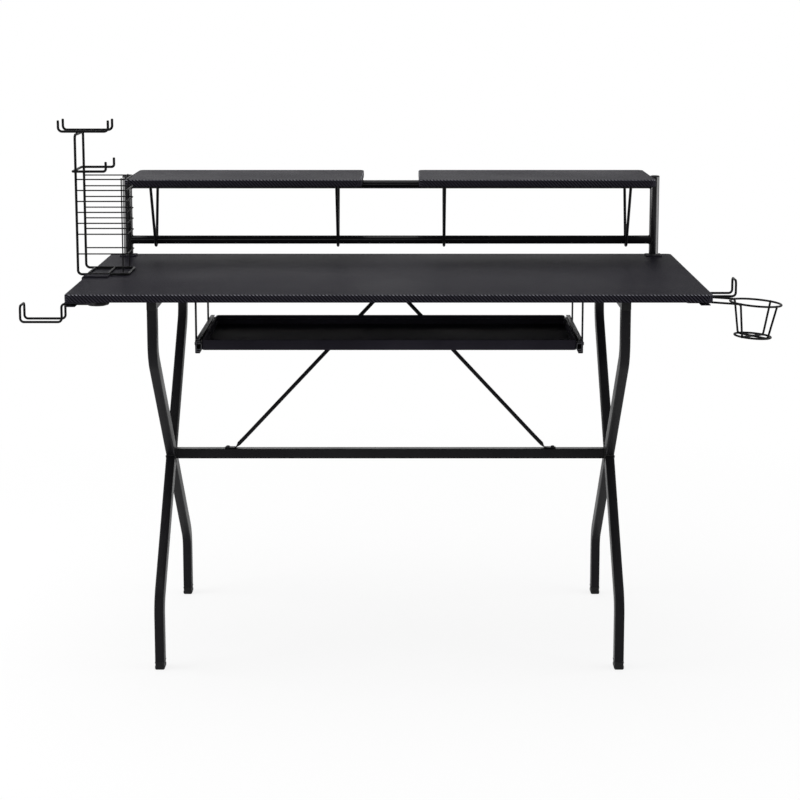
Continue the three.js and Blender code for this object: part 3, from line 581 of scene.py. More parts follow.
# runs a tree on a host and keeps the result as a plain mesh
def grown(name, host, tree, material, values):
    modifier = host.modifiers.new("grow", "NODES")
    modifier.node_group = tree
    values = {**values, "Material": material}
    for item in tree.interface.items_tree:
        if item.in_out == "INPUT" and item.name in values:
            modifier[item.identifier] = values[item.name]
    host.update_tag()
    evaluated = host.evaluated_get(bpy.context.evaluated_depsgraph_get())
    mesh = bpy.data.meshes.new_from_object(evaluated)
    host.modifiers.remove(modifier)
    bpy.data.objects.remove(host)
    mesh.materials.clear()
    mesh.materials.append(material)
    mesh.polygons.foreach_set("material_index", [0] * len(mesh.polygons))
    return pieceOf(name, mesh)


# hangs a finished piece on the body it moves with and hides the CAD nodes it stands for
def settle(piece, body, slotName, *replaced):
    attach(piece, body)
    if replaced:
        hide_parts(*replaced)


def settlePainted(piece, *replaced):
    settle(piece, "desk_frame", "painted_steel", *replaced)


def settleWire(piece, *replaced):
    settle(piece, "desk_frame", "wire_paint", *replaced)


# the end of a cut wire is a little domed: how far from the tip, in diameters, and the share of its girth
wireTip = ((0.0, 0.5), (0.06, 0.78), (0.18, 0.94), (0.36, 1.0))


def wireLine(corners, diameter):
    points = [Vector(corner) for corner in corners]
    girths = [1.0] * len(points)
    for end, inward in ((0, 1), (-1, -2)):
        tip = points[end]
        way = (points[inward] - tip).normalized()
        extra = [tip + way * diameter * along for along, share in wireTip]
        shares = [share for along, share in wireTip]
        if end == 0:
            points[0:1], girths[0:1] = extra, shares
        else:
            points[-1:], girths[-1:] = extra[::-1], shares[::-1]
    return points, girths


def wires(name, lines, diameter, bend, material=wireCoat, steps=facets["wireBend"]):
    drawn = [wireLine(line, diameter) for line in lines]
    values = [girth for line in drawn for girth in line[1]]
    host = pathHost([line[0] for line in drawn], values=values)
    sizes = {"Round": True, "Wide": diameter, "Sides": facets["wire"], "Bend": bend, "Bend Steps": steps}
    return grown(name, host, sweptSection, material, sizes)


def boxTube(name, line, wide, high, corner, bend=0.0, material=steelCoat):
    sizes = {"Wide": wide, "High": high, "Corner": corner, "Bend": bend, "Bend Steps": facets["boxBend"]}
    return grown(name, pathHost([line]), sweptSection, material, sizes)


def roundTube(name, line, diameter, material):
    sizes = {"Round": True, "Wide": diameter, "Sides": facets["tube"], "Bend": 0.0}
    return grown(name, pathHost([line]), sweptSection, material, sizes)


def weldLines(name, lines, drop):
    sizes = {"Drop": drop, "Spacing": drop * welding["overlap"]}
    return grown(name, pathHost(lines, closed=True), weldDrops, weldCoat, sizes)


def weldSpots(name, points, drop):
    sizes = {"On Line": False, "Drop": drop, "Uneven": welding["uneven"]}
    return grown(name, pathHost([points], joined=False), weldDrops, weldCoat, sizes)


print("geometry trees built")


# meshes skinned over rings

brim = 0.6 * mm         # flat that is left inside an eased edge
least = 0.02 * mm       # smallest corner


def around(steps):
    return [2 * math.pi * step / steps for step in range(steps)]


def spoke(angle):
    return Vector((math.cos(angle), math.sin(angle), 0))


def lowMiddle(low, high):
    return Vector(((low.x + high.x) / 2, (low.y + high.y) / 2, low.z))


# the points of a rounded oblong, each with the way out of it
def plan(wide, deep, corner, inset=0.0, steps=facets["corner"]):
    reach, radius = max(corner, inset), max(corner - inset, least)
    made = []
    for turn, (signX, signY) in enumerate(((1, 1), (-1, 1), (-1, -1), (1, -1))):
        centre = Vector((signX * (wide / 2 - reach), signY * (deep / 2 - reach), 0))
        for step in range(steps + 1):
            out = spoke(math.pi / 2 * (turn + step / steps))
            made.append((centre + out * radius, out))
    return made


# a skin over a run of rings, closed at both ends; wraps holds each ring's place on the film
def skinned(name, rings, material, wraps=None, under=None):
    made = bmesh.new()
    rows = [[made.verts.new(point) for point in ring] for ring in rings]
    count = len(rows[0])
    for low, high in zip(rows, rows[1:]):
        for i in range(count):
            j = (i + 1) % count
            made.faces.new((low[i], low[j], high[j], high[i]))
    bottom = made.faces.new(rows[0][::-1])
    made.faces.new(rows[-1])
    if wraps:
        layer = made.loops.layers.uv.new("wrap")
        spot = {vert: place for row, ring in zip(rows, wraps) for vert, place in zip(row, ring)}
        for face in made.faces:
            for loop in face.loops:
                loop[layer].uv = spot[loop.vert]
    bottom.material_index = 1 if under else 0
    mesh = bpy.data.meshes.new(name)
    made.to_mesh(mesh)
    made.free()
    mesh.materials.append(material)
    if under:
        mesh.materials.append(under)
    mesh.shade_smooth()
    mesh.set_sharp_from_angle(angle=math.radians(facets["crease"]))
    return pieceOf(name, mesh)


# a rounded oblong built up along a profile of (how far in, how high)
def stacked(name, wide, deep, corner, profile, base, material, axes=(right, back, up),
            steps=facets["corner"]):
    rings = [[base + axes[0] * point.x + axes[1] * point.y + axes[2] * high
              for point, out in plan(wide, deep, corner, inset, steps)] for inset, high in profile]
    return skinned(name, rings, material)


# a turned piece: profile of (radius, height) from its low end to its high end
def turned(name, profile, base, material, steps):
    rings = [[base + spoke(angle) * radius + up * high for angle in around(steps)]
             for radius, high in profile]
    return skinned(name, rings, material)


def quarter(radius, steps, startIn, startHigh, rise):
    made = []
    for step in range(steps + 1):
        angle = math.pi / 2 * step / steps
        away = radius * (1 - math.sin(angle)) if rise > 0 else radius * (1 - math.cos(angle))
        lift = radius * (1 - math.cos(angle)) if rise > 0 else radius * math.sin(angle)
        made.append((startIn + away, startHigh + lift))
    return made


# rounded low edge, straight side, rounded high edge
def bevelled(thick, edge, steps=facets["edge"]):
    low = quarter(edge, steps, 0, 0, 1)
    high = [(inset, thick - edge + lift) for inset, lift in quarter(edge, steps, 0, 0, -1)]
    return [(edge + brim, 0)] + low + high + [(edge + brim, thick)]


# boards: the film wraps over the edges and a little way under

board = {
    "corner": 12 * mm,
    "edge": 2.5 * mm,
    "underLap": 14 * mm,        # film turned in under the board
    "edgeSteps": 5,
    "cornerSteps": 12,
}


def filmedBoard(node):
    low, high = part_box(node)
    wide, deep, thick = high - low
    base = lowMiddle(low, high)
    profile = [(board["underLap"], 0.0)] + bevelled(thick, board["edge"], board["edgeSteps"])
    far = -brim
    spots = [far]
    for here, above in zip(profile[-2::-1], profile[:0:-1]):
        far += math.dist(here, above)
        spots.insert(0, far)
    flat = plan(wide, deep, board["corner"], board["edge"], board["cornerSteps"])
    rings, wraps = [], []
    for (inset, rise), far in zip(profile, spots):
        ring = plan(wide, deep, board["corner"], inset, board["cornerSteps"])
        rings.append([base + point + up * rise for point, out in ring])
        wraps.append([(base + point + out * far).to_2d() for point, out in flat])
    return skinned("filmed_" + node, rings, twillFilm, wraps, backingPaper)


for node in ("desktop", "left_shelf", "right_shelf"):
    settle(filmedBoard(node), "desk_frame", "carbon_laminate", node)
print("boards wrapped")


# leg frames

legs = {
    "wide": 18 * mm,
    "deep": 30 * mm,
    "corner": 3 * mm,
    "bendRadius": 60 * mm,
    "upperBend": 616 * mm,      # floor to the bends
    "lowerBend": 130 * mm,
    "bead": 1.5 * mm,           # size of the weld drops
    "railHigh": 20 * mm,
    "railCorner": 2 * mm,
    "plug": 1.6 * mm,           # head of the plugs in the rail ends
    "plugEdge": 0.7 * mm,
    "gap": 0.3 * mm,            # what the solids leave between them
}


# cuts a piece off on a plane, closes it and gives the outline of the cut
def trimmed(piece, point, way):
    made = bmesh.new()
    made.from_mesh(piece.data)
    everything = made.verts[:] + made.edges[:] + made.faces[:]
    cut = bmesh.ops.bisect_plane(made, geom=everything, plane_co=point, plane_no=way, clear_outer=True)
    edges = [item for item in cut["geom_cut"] if isinstance(item, bmesh.types.BMEdge)]
    outline, vert, edge = [], edges[0].verts[0], None
    while not outline or vert is not edges[0].verts[0]:
        outline.append(vert.co.copy())
        edge = next(other for other in edges if vert in other.verts and other is not edge)
        vert = edge.other_vert(vert)
    bmesh.ops.holes_fill(made, edges=edges)
    made.to_mesh(piece.data)
    made.free()
    return outline


def legFrame(word):
    mainLow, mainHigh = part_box(word + "_leg_main_tube")
    half, x = legs["deep"] / 2, (mainLow.x + mainHigh.x) / 2
    top, foot = mainHigh.z + legs["gap"], mainLow.z - legs["gap"]
    frontTop, rearFoot = mainLow.y + half, mainHigh.y - half
    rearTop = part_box(word + "_leg_upper_tube")[1].y - half
    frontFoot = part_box(word + "_leg_lower_tube")[0].y + half
    share = (rearTop - frontTop) / (rearTop - frontTop + rearFoot - frontFoot)
    upper, lower = Vector((x, frontTop, legs["upperBend"])), Vector((x, rearFoot, legs["lowerBend"]))
    crossing = upper.lerp(lower, share)
    sizes = (legs["wide"], legs["deep"], legs["corner"], legs["bendRadius"])
    line = [Vector((x, frontTop, top)), upper, lower, Vector((x, rearFoot, foot))]
    settlePainted(boxTube(word + "LongTube", line, *sizes), word + "_leg_main_tube")
    across = (lower - upper).cross(right).normalized()
    outlines = []
    for part, y, bend, end in (("upper", rearTop, legs["upperBend"], top),
                               ("lower", frontFoot, legs["lowerBend"], foot)):
        bent = Vector((x, y, bend))
        tube = boxTube(word + part.capitalize() + "Tube", [Vector((x, y, end)), bent, crossing], *sizes)
        way = across if (bent - crossing).dot(across) < 0 else -across
        outlines.append(trimmed(tube, crossing - way * half, way))
        settlePainted(tube, "%s_leg_%s_tube" % (word, part))
    return outlines


beads = []
for word, side in sides:
    beads += legFrame(word)
    low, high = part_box(word + "_top_rail")
    x, z = (low.x + high.x) / 2, (low.z + high.z) / 2
    ends = [Vector((x, y, z)) for y in (low.y + legs["plug"], high.y - legs["plug"])]
    rail = boxTube(word + "TopRail", ends, legs["wide"], legs["railHigh"], legs["railCorner"])
    settlePainted(rail, word + "_top_rail")
    for end, y, way in (("Front", low.y, back), ("Rear", high.y, -back)):
        profile = bevelled(legs["plug"], legs["plugEdge"])[::-1]
        plug = stacked(word + end + "RailPlug", legs["wide"], legs["railHigh"], legs["railCorner"], profile,
                       Vector((x, y, z)), blackMoulding, (right, up, way))
        settle(plug, "desk_frame", "black_plastic")
print("leg frames bent")


# feet: a moulded shoe with a waist and a rounded sole

feet = {
    "lip": 0.5 * mm,
    "high": 15.3 * mm,
    "sole": 3 * mm,
    "soleSteps": 5,
    "dish": ((1, 0.6), (0.7, 0)),       # how far in from the sole's rounding and how high, in mm
    "shape": ((0, 0.42), (0.3, 0.46), (0.7, 0.5), (0.7, 0.78), (0.2, 0.84), (0, 0.87), (0, 0.97),
              (0.15, 1), (0.6, 1)),     # how far in, in mm, and the share of the height
}
for word, side in sides:
    for end in ("front", "rear"):
        node = "%s_%s_foot" % (word, end)
        low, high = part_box(node)
        profile = [(feet["sole"] + inset * mm, lift * mm) for inset, lift in feet["dish"]]
        profile += quarter(feet["sole"], feet["soleSteps"], 0, 0, 1)
        profile += [(inset * mm, share * feet["high"]) for inset, share in feet["shape"]]
        shoe = stacked(node + "_shoe", high.x - low.x, high.y - low.y, legs["corner"] + feet["lip"], profile,
                       lowMiddle(low, high), blackMoulding)
        settle(shoe, "desk_frame", "black_plastic", node)
print("feet moulded")


# crossbar, stretcher and braces

bars = {"corner": 2 * mm, "size": 20 * mm}
for node in ("crossbar", "top_stretcher"):
    low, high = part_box(node)
    centre = (low + high) / 2
    ends = [Vector((x, centre.y, centre.z)) for x in (low.x - legs["gap"], high.x + legs["gap"])]
    settlePainted(boxTube(node + "_tube", ends, bars["size"], bars["size"], bars["corner"]), node)
    ring = plan(bars["size"], bars["size"], bars["corner"])
    beads += [[end + back * point.x + up * point.y for point, out in ring] for end in ends]
settlePainted(weldLines("frameWelds", beads, legs["bead"]))

brace = {
    "rod": 8 * mm,
    "padWide": 14 * mm,
    "padThick": 2.5 * mm,
    "padLong": 24 * mm,
    "padNose": (0.0, 0.02, 0.08, 0.2, 0.4, 0.7, 1.0),   # stations of a pad's round end, in half widths
    "noseLeast": 0.8 * mm,      # half width of its very end
    "neck": 2 * mm,             # of the pad, where the rod begins
    "footFlat": 3 * mm,
    "flatten": 11 * mm,         # length over which the rod is pressed flat
    "steps": 9,
    "lift": 0.2,                # how far the rod's middle lies over the pad's, of what it is thicker
    "plain": 20 * mm,           # round rod before the section starts to turn
    "twistSteps": 12,
    "holeIn": 0.9,              # foot's end to its screw, in half widths
    "sides": 28,
    "boxy": 3.0,                # 2 is an ellipse, and more is nearer to a box
    "alike": 0.05 * mm,         # a section with sides as near as this is round
}


# a bar of changing section: each station is centre, width way, thickness way, half width, half thickness
def lofted(name, stations, material):
    rings = []
    for centre, wideWay, thickWay, halfWide, halfThick in stations:
        power = 2.0 if abs(halfWide - halfThick) < brace["alike"] else brace["boxy"]
        ring = []
        for angle in around(brace["sides"]):
            across, along = math.cos(angle), math.sin(angle)
            ring.append(centre + wideWay * math.copysign(abs(across) ** (2 / power), across) * halfWide
                        + thickWay * math.copysign(abs(along) ** (2 / power), along) * halfThick)
        rings.append(ring)
    return skinned(name, rings, material)


def ease(share):
    return share * share * (3 - 2 * share)


# gives the places of the screws in the foot and in the tip, each with the way its head faces
def braceBar(word, side):
    low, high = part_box(word + "_brace")
    rod, thick, wide = brace["rod"] / 2, brace["padThick"] / 2, brace["padWide"] / 2
    outerX, innerX = (low.x, high.x) if side < 0 else (high.x, low.x)
    inward = Vector((-side, 0, 0))
    footEnd = Vector((outerX, middle("crossbar").y, low.z + thick))
    tipEnd = Vector((innerX + side * wide, high.y - thick, high.z))
    footNeck = footEnd + inward * (brace["padLong"] - brace["neck"])
    tipNeck = tipEnd - up * (brace["padLong"] - brace["neck"])
    rodWay = (tipNeck - footNeck).normalized()
    flatten, steps = brace["flatten"], brace["steps"]
    stations = []

    def padStation(centre, wideWay, thickWay, along):
        pull = math.sqrt(max(0.0, 1 - (1 - min(along / wide, 1)) ** 2))
        stations.append((centre, wideWay, thickWay, max(wide * pull, brace["noseLeast"]), thick))

    for along in brace["padNose"]:
        padStation(footEnd + inward * along * wide, back, up, along * wide)
    stations.append((footNeck - inward * brace["footFlat"], back, up, wide, thick))
    upright = back.cross(rodWay).normalized() * (1 if back.cross(rodWay).z > 0 else -1)
    level = (back - rodWay * back.dot(rodWay)).normalized()
    for step in range(1, steps + 1):
        share = ease(step / steps)
        centre = footNeck + rodWay * flatten * step / steps + up * (rod - thick) * share * brace["lift"]
        stations.append((centre, level, upright.lerp(up, 1 - share).normalized(),
                         wide + (rod - wide) * share, thick + (rod - thick) * share))
    start = footNeck + rodWay * (flatten + brace["plain"])
    end = tipNeck - rodWay * (flatten + brace["plain"])
    for step in range(brace["twistSteps"] + 1):
        share = step / brace["twistSteps"]
        angle = math.pi / 2 * share
        turnedWide = level * math.cos(angle) + upright * math.sin(angle)
        turnedThick = upright * math.cos(angle) - level * math.sin(angle)
        stations.append((start.lerp(end, share), turnedWide, turnedThick, rod, rod))
    lastWide, lastThick = stations[-1][1], stations[-1][2]
    endWide = inward if lastWide.dot(inward) > 0 else -inward
    endThick = back if lastThick.dot(back) > 0 else -back
    for step in range(1, steps + 1):
        share = ease(step / steps)
        centre = tipNeck - rodWay * flatten * (1 - step / steps)
        stations.append((centre, lastWide.lerp(endWide, share).normalized(),
                         lastThick.lerp(endThick, share).normalized(),
                         rod + (wide - rod) * share, rod + (thick - rod) * share))
    for along in brace["padNose"][::-1]:
        padStation(tipEnd - up * along * wide, endWide, endThick, along * wide)
    settlePainted(lofted(word + "BraceRod", stations, steelCoat), word + "_brace")
    footHole = footEnd + inward * wide * brace["holeIn"] + up * thick
    return (footHole, up), (tipEnd - up * wide - back * thick, -back)


screws = []
for word, side in sides:
    screws += braceBar(word, side)
print("braces pressed")


# hutch: posts, caps, rails, flanges and hairpin props

hutch = {
    "post": 20 * mm,
    "rail": 18 * mm,
    "bead": 1.3 * mm,
    "postBeads": 32,            # steps round a joint
    "railBeads": 36,
    "capLip": 0.1 * mm,         # how far a cap stands out over its post
    "capSeam": 0.3 * mm,
    "capStraight": 0.35,        # share of its height
    "capDome": ((0.96, 0.6), (0.86, 0.79), (0.66, 0.91), (0.38, 0.98), (0.1, 1)),
    "capSides": 40,
    "flangeCorner": 4.5 * mm,
    "flangeEdge": 0.5 * mm,
    "screwIn": 4.5 * mm,        # flange's edge to its screws
    "wire": 6 * mm,
    "hug": 12.6 * mm,           # bend of a prop round the rail
    "hugSteps": 18,
    "sunk": 0.4,                # how far a prop's end stops short of the tab's top, in tab thicknesses
    "tabThick": 2.5 * mm,
    "tabWide": 12 * mm,
    "tabCorner": 3 * mm,
    "tabEdge": 0.5 * mm,
    "tabScrewIn": 8 * mm,
}
beads = []
for word, side in sides:
    low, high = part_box(word + "_hutch_post")
    radius = hutch["post"] / 2
    foot = lowMiddle(low, high)
    tip = foot + up * (high.z - low.z)
    post = roundTube(word + "Post", [foot - up * legs["gap"], tip], hutch["post"], hutchCoat)
    settlePainted(post, word + "_hutch_post")
    beads.append([foot + spoke(angle) * radius for angle in around(hutch["postBeads"])])
    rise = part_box(word + "_post_cap")[1].z - high.z
    lip = radius + hutch["capLip"]
    profile = [(radius, 0), (lip, hutch["capSeam"]), (lip, rise * hutch["capStraight"])]
    profile += [(radius * across, rise * share) for across, share in hutch["capDome"]]
    cap = turned(word + "PostCap", profile, tip, blackMoulding, hutch["capSides"])
    settle(cap, "desk_frame", "black_plastic", word + "_post_cap")
    low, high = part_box(word + "_post_flange")
    wide, deep, thick = high - low
    flange = stacked(word + "Flange", wide, deep, hutch["flangeCorner"], bevelled(thick, hutch["flangeEdge"]),
                     Vector((foot.x, foot.y, low.z)), plateCoat)
    settlePainted(flange, word + "_post_flange")
    rows = (low.y + hutch["screwIn"], high.y - hutch["screwIn"])
    screws += [(Vector((foot.x, y, high.z)), up) for y in rows]

for level in ("lower", "upper"):
    node = "hutch_%s_rail" % level
    centre, radius = middle(node), hutch["rail"] / 2
    posts = [middle(word + "_hutch_post").x for word, side in sides]
    line = [Vector((x, centre.y, centre.z)) for x in posts]
    settlePainted(roundTube(level + "Rail", line, hutch["rail"], railCoat), node)
    for end, way in zip(line, (right, -right)):
        saddle = []
        for angle in around(hutch["railBeads"]):
            across = radius * math.cos(angle)
            out = math.sqrt((hutch["post"] / 2) ** 2 - across ** 2)
            saddle.append(end + way * out + back * across + up * radius * math.sin(angle))
        beads.append(saddle)
settlePainted(weldLines("hutchWelds", beads, hutch["bead"]))

railMiddle = middle("hutch_lower_rail")


# the angle at which a prop leaves its bend round the rail towards a tab
def leaving(y, rise, way):
    aside = y - railMiddle.y
    return math.atan2(rise, aside) + way * math.acos(hutch["hug"] / math.hypot(aside, rise))


for word, side in sides:
    for end, out in (("outer", side), ("inner", -side)):
        node = "%s_%s_prop" % (word, end)
        low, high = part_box(node)
        wireX, tabX = (low.x, high.x) if out > 0 else (high.x, low.x)
        wireX += out * hutch["wire"] / 2
        tabX -= out * hutch["tabScrewIn"]
        frontY, rearY = low.y + hutch["tabWide"] / 2, high.y - hutch["tabWide"] / 2
        tabLow = high.z - hutch["tabThick"]
        rise, tipZ = tabLow - railMiddle.z, high.z - hutch["tabThick"] * hutch["sunk"]
        frontAngle, rearAngle = leaving(frontY, rise, 1), leaving(rearY, rise, -1) + 2 * math.pi
        turn = (frontAngle + rearAngle) / 2
        apex = hutch["hug"] / math.cos((rearAngle - frontAngle) / 2)
        corners = [(wireX, frontY, tipZ),
                   (wireX, railMiddle.y + apex * math.cos(turn), railMiddle.z + apex * math.sin(turn)),
                   (wireX, rearY, tipZ)]
        prop = wires(node + "_wire", [corners], hutch["wire"], hutch["hug"], steelCoat, hutch["hugSteps"])
        settlePainted(prop, node)
        for place, y in (("Front", frontY), ("Rear", rearY)):
            tab = stacked(node + place + "Tab", high.x - low.x, hutch["tabWide"], hutch["tabCorner"],
                          bevelled(hutch["tabThick"], hutch["tabEdge"]),
                          Vector(((low.x + high.x) / 2, y, tabLow)), plateCoat)
            settlePainted(tab)
            screws.append((Vector((tabX, y, tabLow)), -up))
print("hutch built")


# wire rack

rack = {
    "wire": 5 * mm,
    "bend": 8 * mm,
    "seam": 0.2 * mm,                   # half the gap where the loop's ends meet
    "crossWire": 4 * mm,
    "crossAt": (18 * mm, 58 * mm),      # from the uprights
    "thinWire": 2.6 * mm,
    "thinBend": 7,                      # steps
    "lowest": 43 * mm,                  # desktop to the first thin wire
    "second": 82 * mm,
    "step": 21.6 * mm,
    "stepped": 6,
    "shelfEnd": 0.7,                    # from an upright's middle to a shelf's end, in half wires
    "shelfWeld": 0.8,
    "hookWeld": 2.6 * mm,               # from an upright's middle to the hook's weld
    "weld": 2.2 * mm,
    "thinWeld": 1.5 * mm,
}
low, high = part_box("rack_frame")
half = rack["wire"] / 2
frontY, rearY = low.y + half, high.y - half
rackX, endX, baseZ, topZ = low.x + half, high.x - half, low.z + half, high.z - half
weldY = (frontY + rearY) / 2
loop = [(endX, weldY - rack["seam"], baseZ), (endX, frontY, baseZ), (rackX, frontY, baseZ),
        (rackX, frontY, topZ), (rackX, rearY, topZ), (rackX, rearY, baseZ), (endX, rearY, baseZ),
        (endX, weldY + rack["seam"], baseZ)]
settleWire(wires("rackLoop", [loop], rack["wire"], rack["bend"]), "rack_frame")
crossing = [[(rackX + out, frontY, baseZ), (rackX + out, rearY, baseZ)] for out in rack["crossAt"]]
settleWire(wires("rackCrossWires", crossing, rack["crossWire"], 0.0))
spots = [Vector(point) for line in crossing for point in line] + [Vector((endX, weldY, baseZ))]
levels = [rack["lowest"]] + [rack["second"] + i * rack["step"] for i in range(rack["stepped"])]
levels = [deskHigh.z + level for level in levels]
gridLow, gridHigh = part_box("rack_grid")
thin = rack["thinWire"]
gridEnd, gridFront, gridRear = gridHigh.x - thin / 2, gridLow.y + thin / 2, gridHigh.y - thin / 2
startX = rackX + half * rack["shelfEnd"]
shelves = [[(startX, gridFront, z), (gridEnd, gridFront, z), (gridEnd, gridRear, z), (startX, gridRear, z)]
           for z in levels]
settleWire(wires("rackShelfWires", shelves, thin, rack["bend"], steps=rack["thinBend"]), "rack_grid")
tieX = gridEnd - rack["bend"] - thin / 2
ties = [[(tieX, y, gridLow.z), (tieX, y, gridHigh.z)] for y in (gridFront + thin, gridRear - thin)]
settleWire(wires("rackTies", ties, thin, 0.0))
print("rack started")

# bars across the top and the hook round the uprights
for end in ("front", "rear"):
    node = "rack_%s_top_bar" % end
    low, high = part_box(node)
    y, z = (low.y + high.y) / 2, low.z + half
    bar = [(low.x + half, y, high.z), (low.x + half, y, z), (high.x - half, y, z), (high.x - half, y, high.z)]
    settleWire(wires("rack%sTopBar" % end.capitalize(), [bar], rack["wire"], rack["bend"]), node)
    spots.append(Vector((rackX, y, (z + topZ) / 2)))
low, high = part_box("rack_side_hook")
x, tipX, z = low.x + half, high.x - half, low.z + half
run = [(tipX, high.z), (tipX, z), (x, z)]
hugging = [(x, low.y + half, z) for x, z in run] + [(x, high.y - half, z) for x, z in run[::-1]]
settleWire(wires("rackSideHook", [hugging], rack["wire"], rack["wire"] + legs["gap"]), "rack_side_hook")
spots += [Vector((rackX, y - out * rack["hookWeld"], z)) for y, out in ((frontY, 1), (rearY, -1))]
settleWire(weldSpots("rackWelds", spots, rack["weld"]))
thinSpots = [Vector((rackX + half * rack["shelfWeld"], y, z)) for z in levels for y in (gridFront, gridRear)]
thinSpots += [Vector((tieX, y, z)) for z in levels for y in (gridFront + thin / 2, gridRear - thin / 2)]
settleWire(weldSpots("rackShelfWelds", thinSpots, rack["thinWeld"]))
print("rack welded")


# rack clamp: bent bar, nut, screw, knob and swivel pad

clamp = {
    "thick": 3 * mm,
    "corner": 0.7 * mm,
    "bend": 3.4 * mm,
    "screw": 8 * mm,
    "pitch": 1.5 * mm,
    "nut": 13 * mm,
    "nutSides": 6,
    "nutShape": ((0.92, 0), (1, 0.4), (1, 4.4), (0.88, 5)),     # share of its half width, and how high in mm
    "lobes": 8,
    "lobeDeep": 1.3 * mm,
    "lobesFrom": (0.6, 0.9),    # shares of the radius between which the lobes grow
    "knobSides": 96,
    "knobShape": ((0.3, 0), (0.62, 0), (0.78, 0.05), (0.9, 0.12), (0.97, 0.24), (1, 0.4), (0.985, 0.6),
                  (0.94, 0.78), (0.86, 0.9), (0.74, 0.97), (0.6, 1), (0.4, 1), (0.36, 0.97), (0.3, 0.97)),
    "padHub": ((0.5, 0), (0.56, 0), (0.6, 0.5)),                # share of the radius, and how high in mm
    "padShape": ((0.62, 0.45), (0.95, 0.55), (1, 0.65), (1, 0.92), (0.96, 1), (0.8, 1)),
    "padSides": 40,
}
low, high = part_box("clamp_bracket")
half, y = clamp["thick"] / 2, (low.y + high.y) / 2
line = [Vector((x, y, z)) for x, z in ((high.x, high.z - half), (low.x + half, high.z - half),
                                       (low.x + half, low.z + half), (high.x, low.z + half))]
bracket = boxTube("clampBar", line, high.y - low.y, clamp["thick"], clamp["corner"], clamp["bend"], plateCoat)
settlePainted(bracket, "clamp_bracket")
screwLow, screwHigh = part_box("clamp_screw")
x = (screwLow.x + screwHigh.x) / 2
profile = [(clamp["nut"] / 2 * share, lift * mm) for share, lift in clamp["nutShape"]]
nut = turned("clampNut", profile, Vector((x, y, low.z + clamp["thick"])), brightZinc, clamp["nutSides"])
settle(nut, "desk_frame", "plain_steel")

threaded = grown("threadedScrew", pathHost([[Vector((0, 0, 0))]], joined=False), rolledThread, brightZinc, {
    "Diameter": clamp["screw"], "Pitch": clamp["pitch"], "Long": screwHigh.z - screwLow.z,
    "Base": Vector((x, y, screwLow.z)),
})
settle(threaded, "clamp_screw", "plain_steel", "clamp_screw")


def clampKnob():
    low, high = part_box("clamp_knob")
    radius, rise = (high.x - low.x) / 2, high.z - low.z
    start, full = clamp["lobesFrom"]
    rings = []
    for reach, lift in clamp["knobShape"]:
        share = ease(min(max((reach - start) / (full - start), 0), 1))
        ring = []
        for angle in around(clamp["knobSides"]):
            cut = clamp["lobeDeep"] * share * (1 - math.cos(clamp["lobes"] * angle)) / 2
            ring.append(Vector((x, y, low.z + lift * rise)) + spoke(angle) * (reach * radius - cut))
        rings.append(ring)
    return skinned("clampKnob", rings, blackMoulding)


settle(clampKnob(), "clamp_screw", "black_plastic", "clamp_knob")
low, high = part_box("clamp_pad")
radius, rise = (high.x - low.x) / 2, high.z - low.z
profile = [(radius * share, lift * mm) for share, lift in clamp["padHub"]]
profile += [(radius * share, rise * lift) for share, lift in clamp["padShape"]]
pad = turned("clampPad", profile, Vector((x, y, low.z)), blackRubber, clamp["padSides"])
settle(pad, "clamp_pad", "black_plastic", "clamp_pad")
print("clamp turned")


# headset hooks and cup holder

hooks = {"wire": 4.5 * mm, "bend": 7 * mm, "dropIn": 77 * mm, "tipHigh": 30 * mm}
half = hooks["wire"] / 2


# a wire that runs out along the front of its node and back along the rear
def hairpin(name, node, run):
    low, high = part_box(node)
    line = [(x, low.y + half, z) for x, z in run] + [(x, high.y - half, z) for x, z in run[::-1]]
    settleWire(wires(name, [line], hooks["wire"], hooks["bend"]), node)


low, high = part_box("left_headset_hook")
topZ, lowZ, tipX = high.z - half, low.z + half, low.x + half
dropX = tipX + hooks["dropIn"]
hairpin("leftHook", "left_headset_hook", [
    (high.x, topZ), (dropX, topZ), (dropX, lowZ), (tipX, lowZ), (tipX, lowZ + hooks["tipHigh"])])
low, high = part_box("right_headset_hook")
hairpin("rightHook", "right_headset_hook", [
    (low.x, low.z + half), (high.x - half, low.z + half), (high.x - half, high.z - half)])

cup = {
    "wire": 4 * mm,
    "bend": 6 * mm,
    "ring": 96 * mm,
    "base": 68 * mm,
    "deep": 63 * mm,
    "out": 90 * mm,         # desktop's end to the middle of the ring
    "droop": 4,             # degrees
    "steps": 72,
    "weld": 2.6 * mm,
}
cupLow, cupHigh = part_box("cup_holder")
cupY, edgeX = (cupLow.y + cupHigh.y) / 2, deskHigh.x
cupZ = low.z + hooks["wire"] - cup["wire"] / 2
droop = math.radians(cup["droop"])


# a place in the cup holder, which leans down from the desktop's end
def drooped(out, y, rise):
    return Vector((edgeX + out * math.cos(droop) + rise * math.sin(droop), y,
                   cupZ - out * math.sin(droop) + rise * math.cos(droop)))


def cupRing(diameter, rise):
    places = [spoke(angle) * diameter / 2 for angle in around(cup["steps"])]
    return [drooped(cup["out"] + place.x, cupY + place.y, rise) for place in places]


def atCorner(reach, signX, signY, rise):
    return drooped(cup["out"] + signX * reach, cupY + signY * reach, rise)


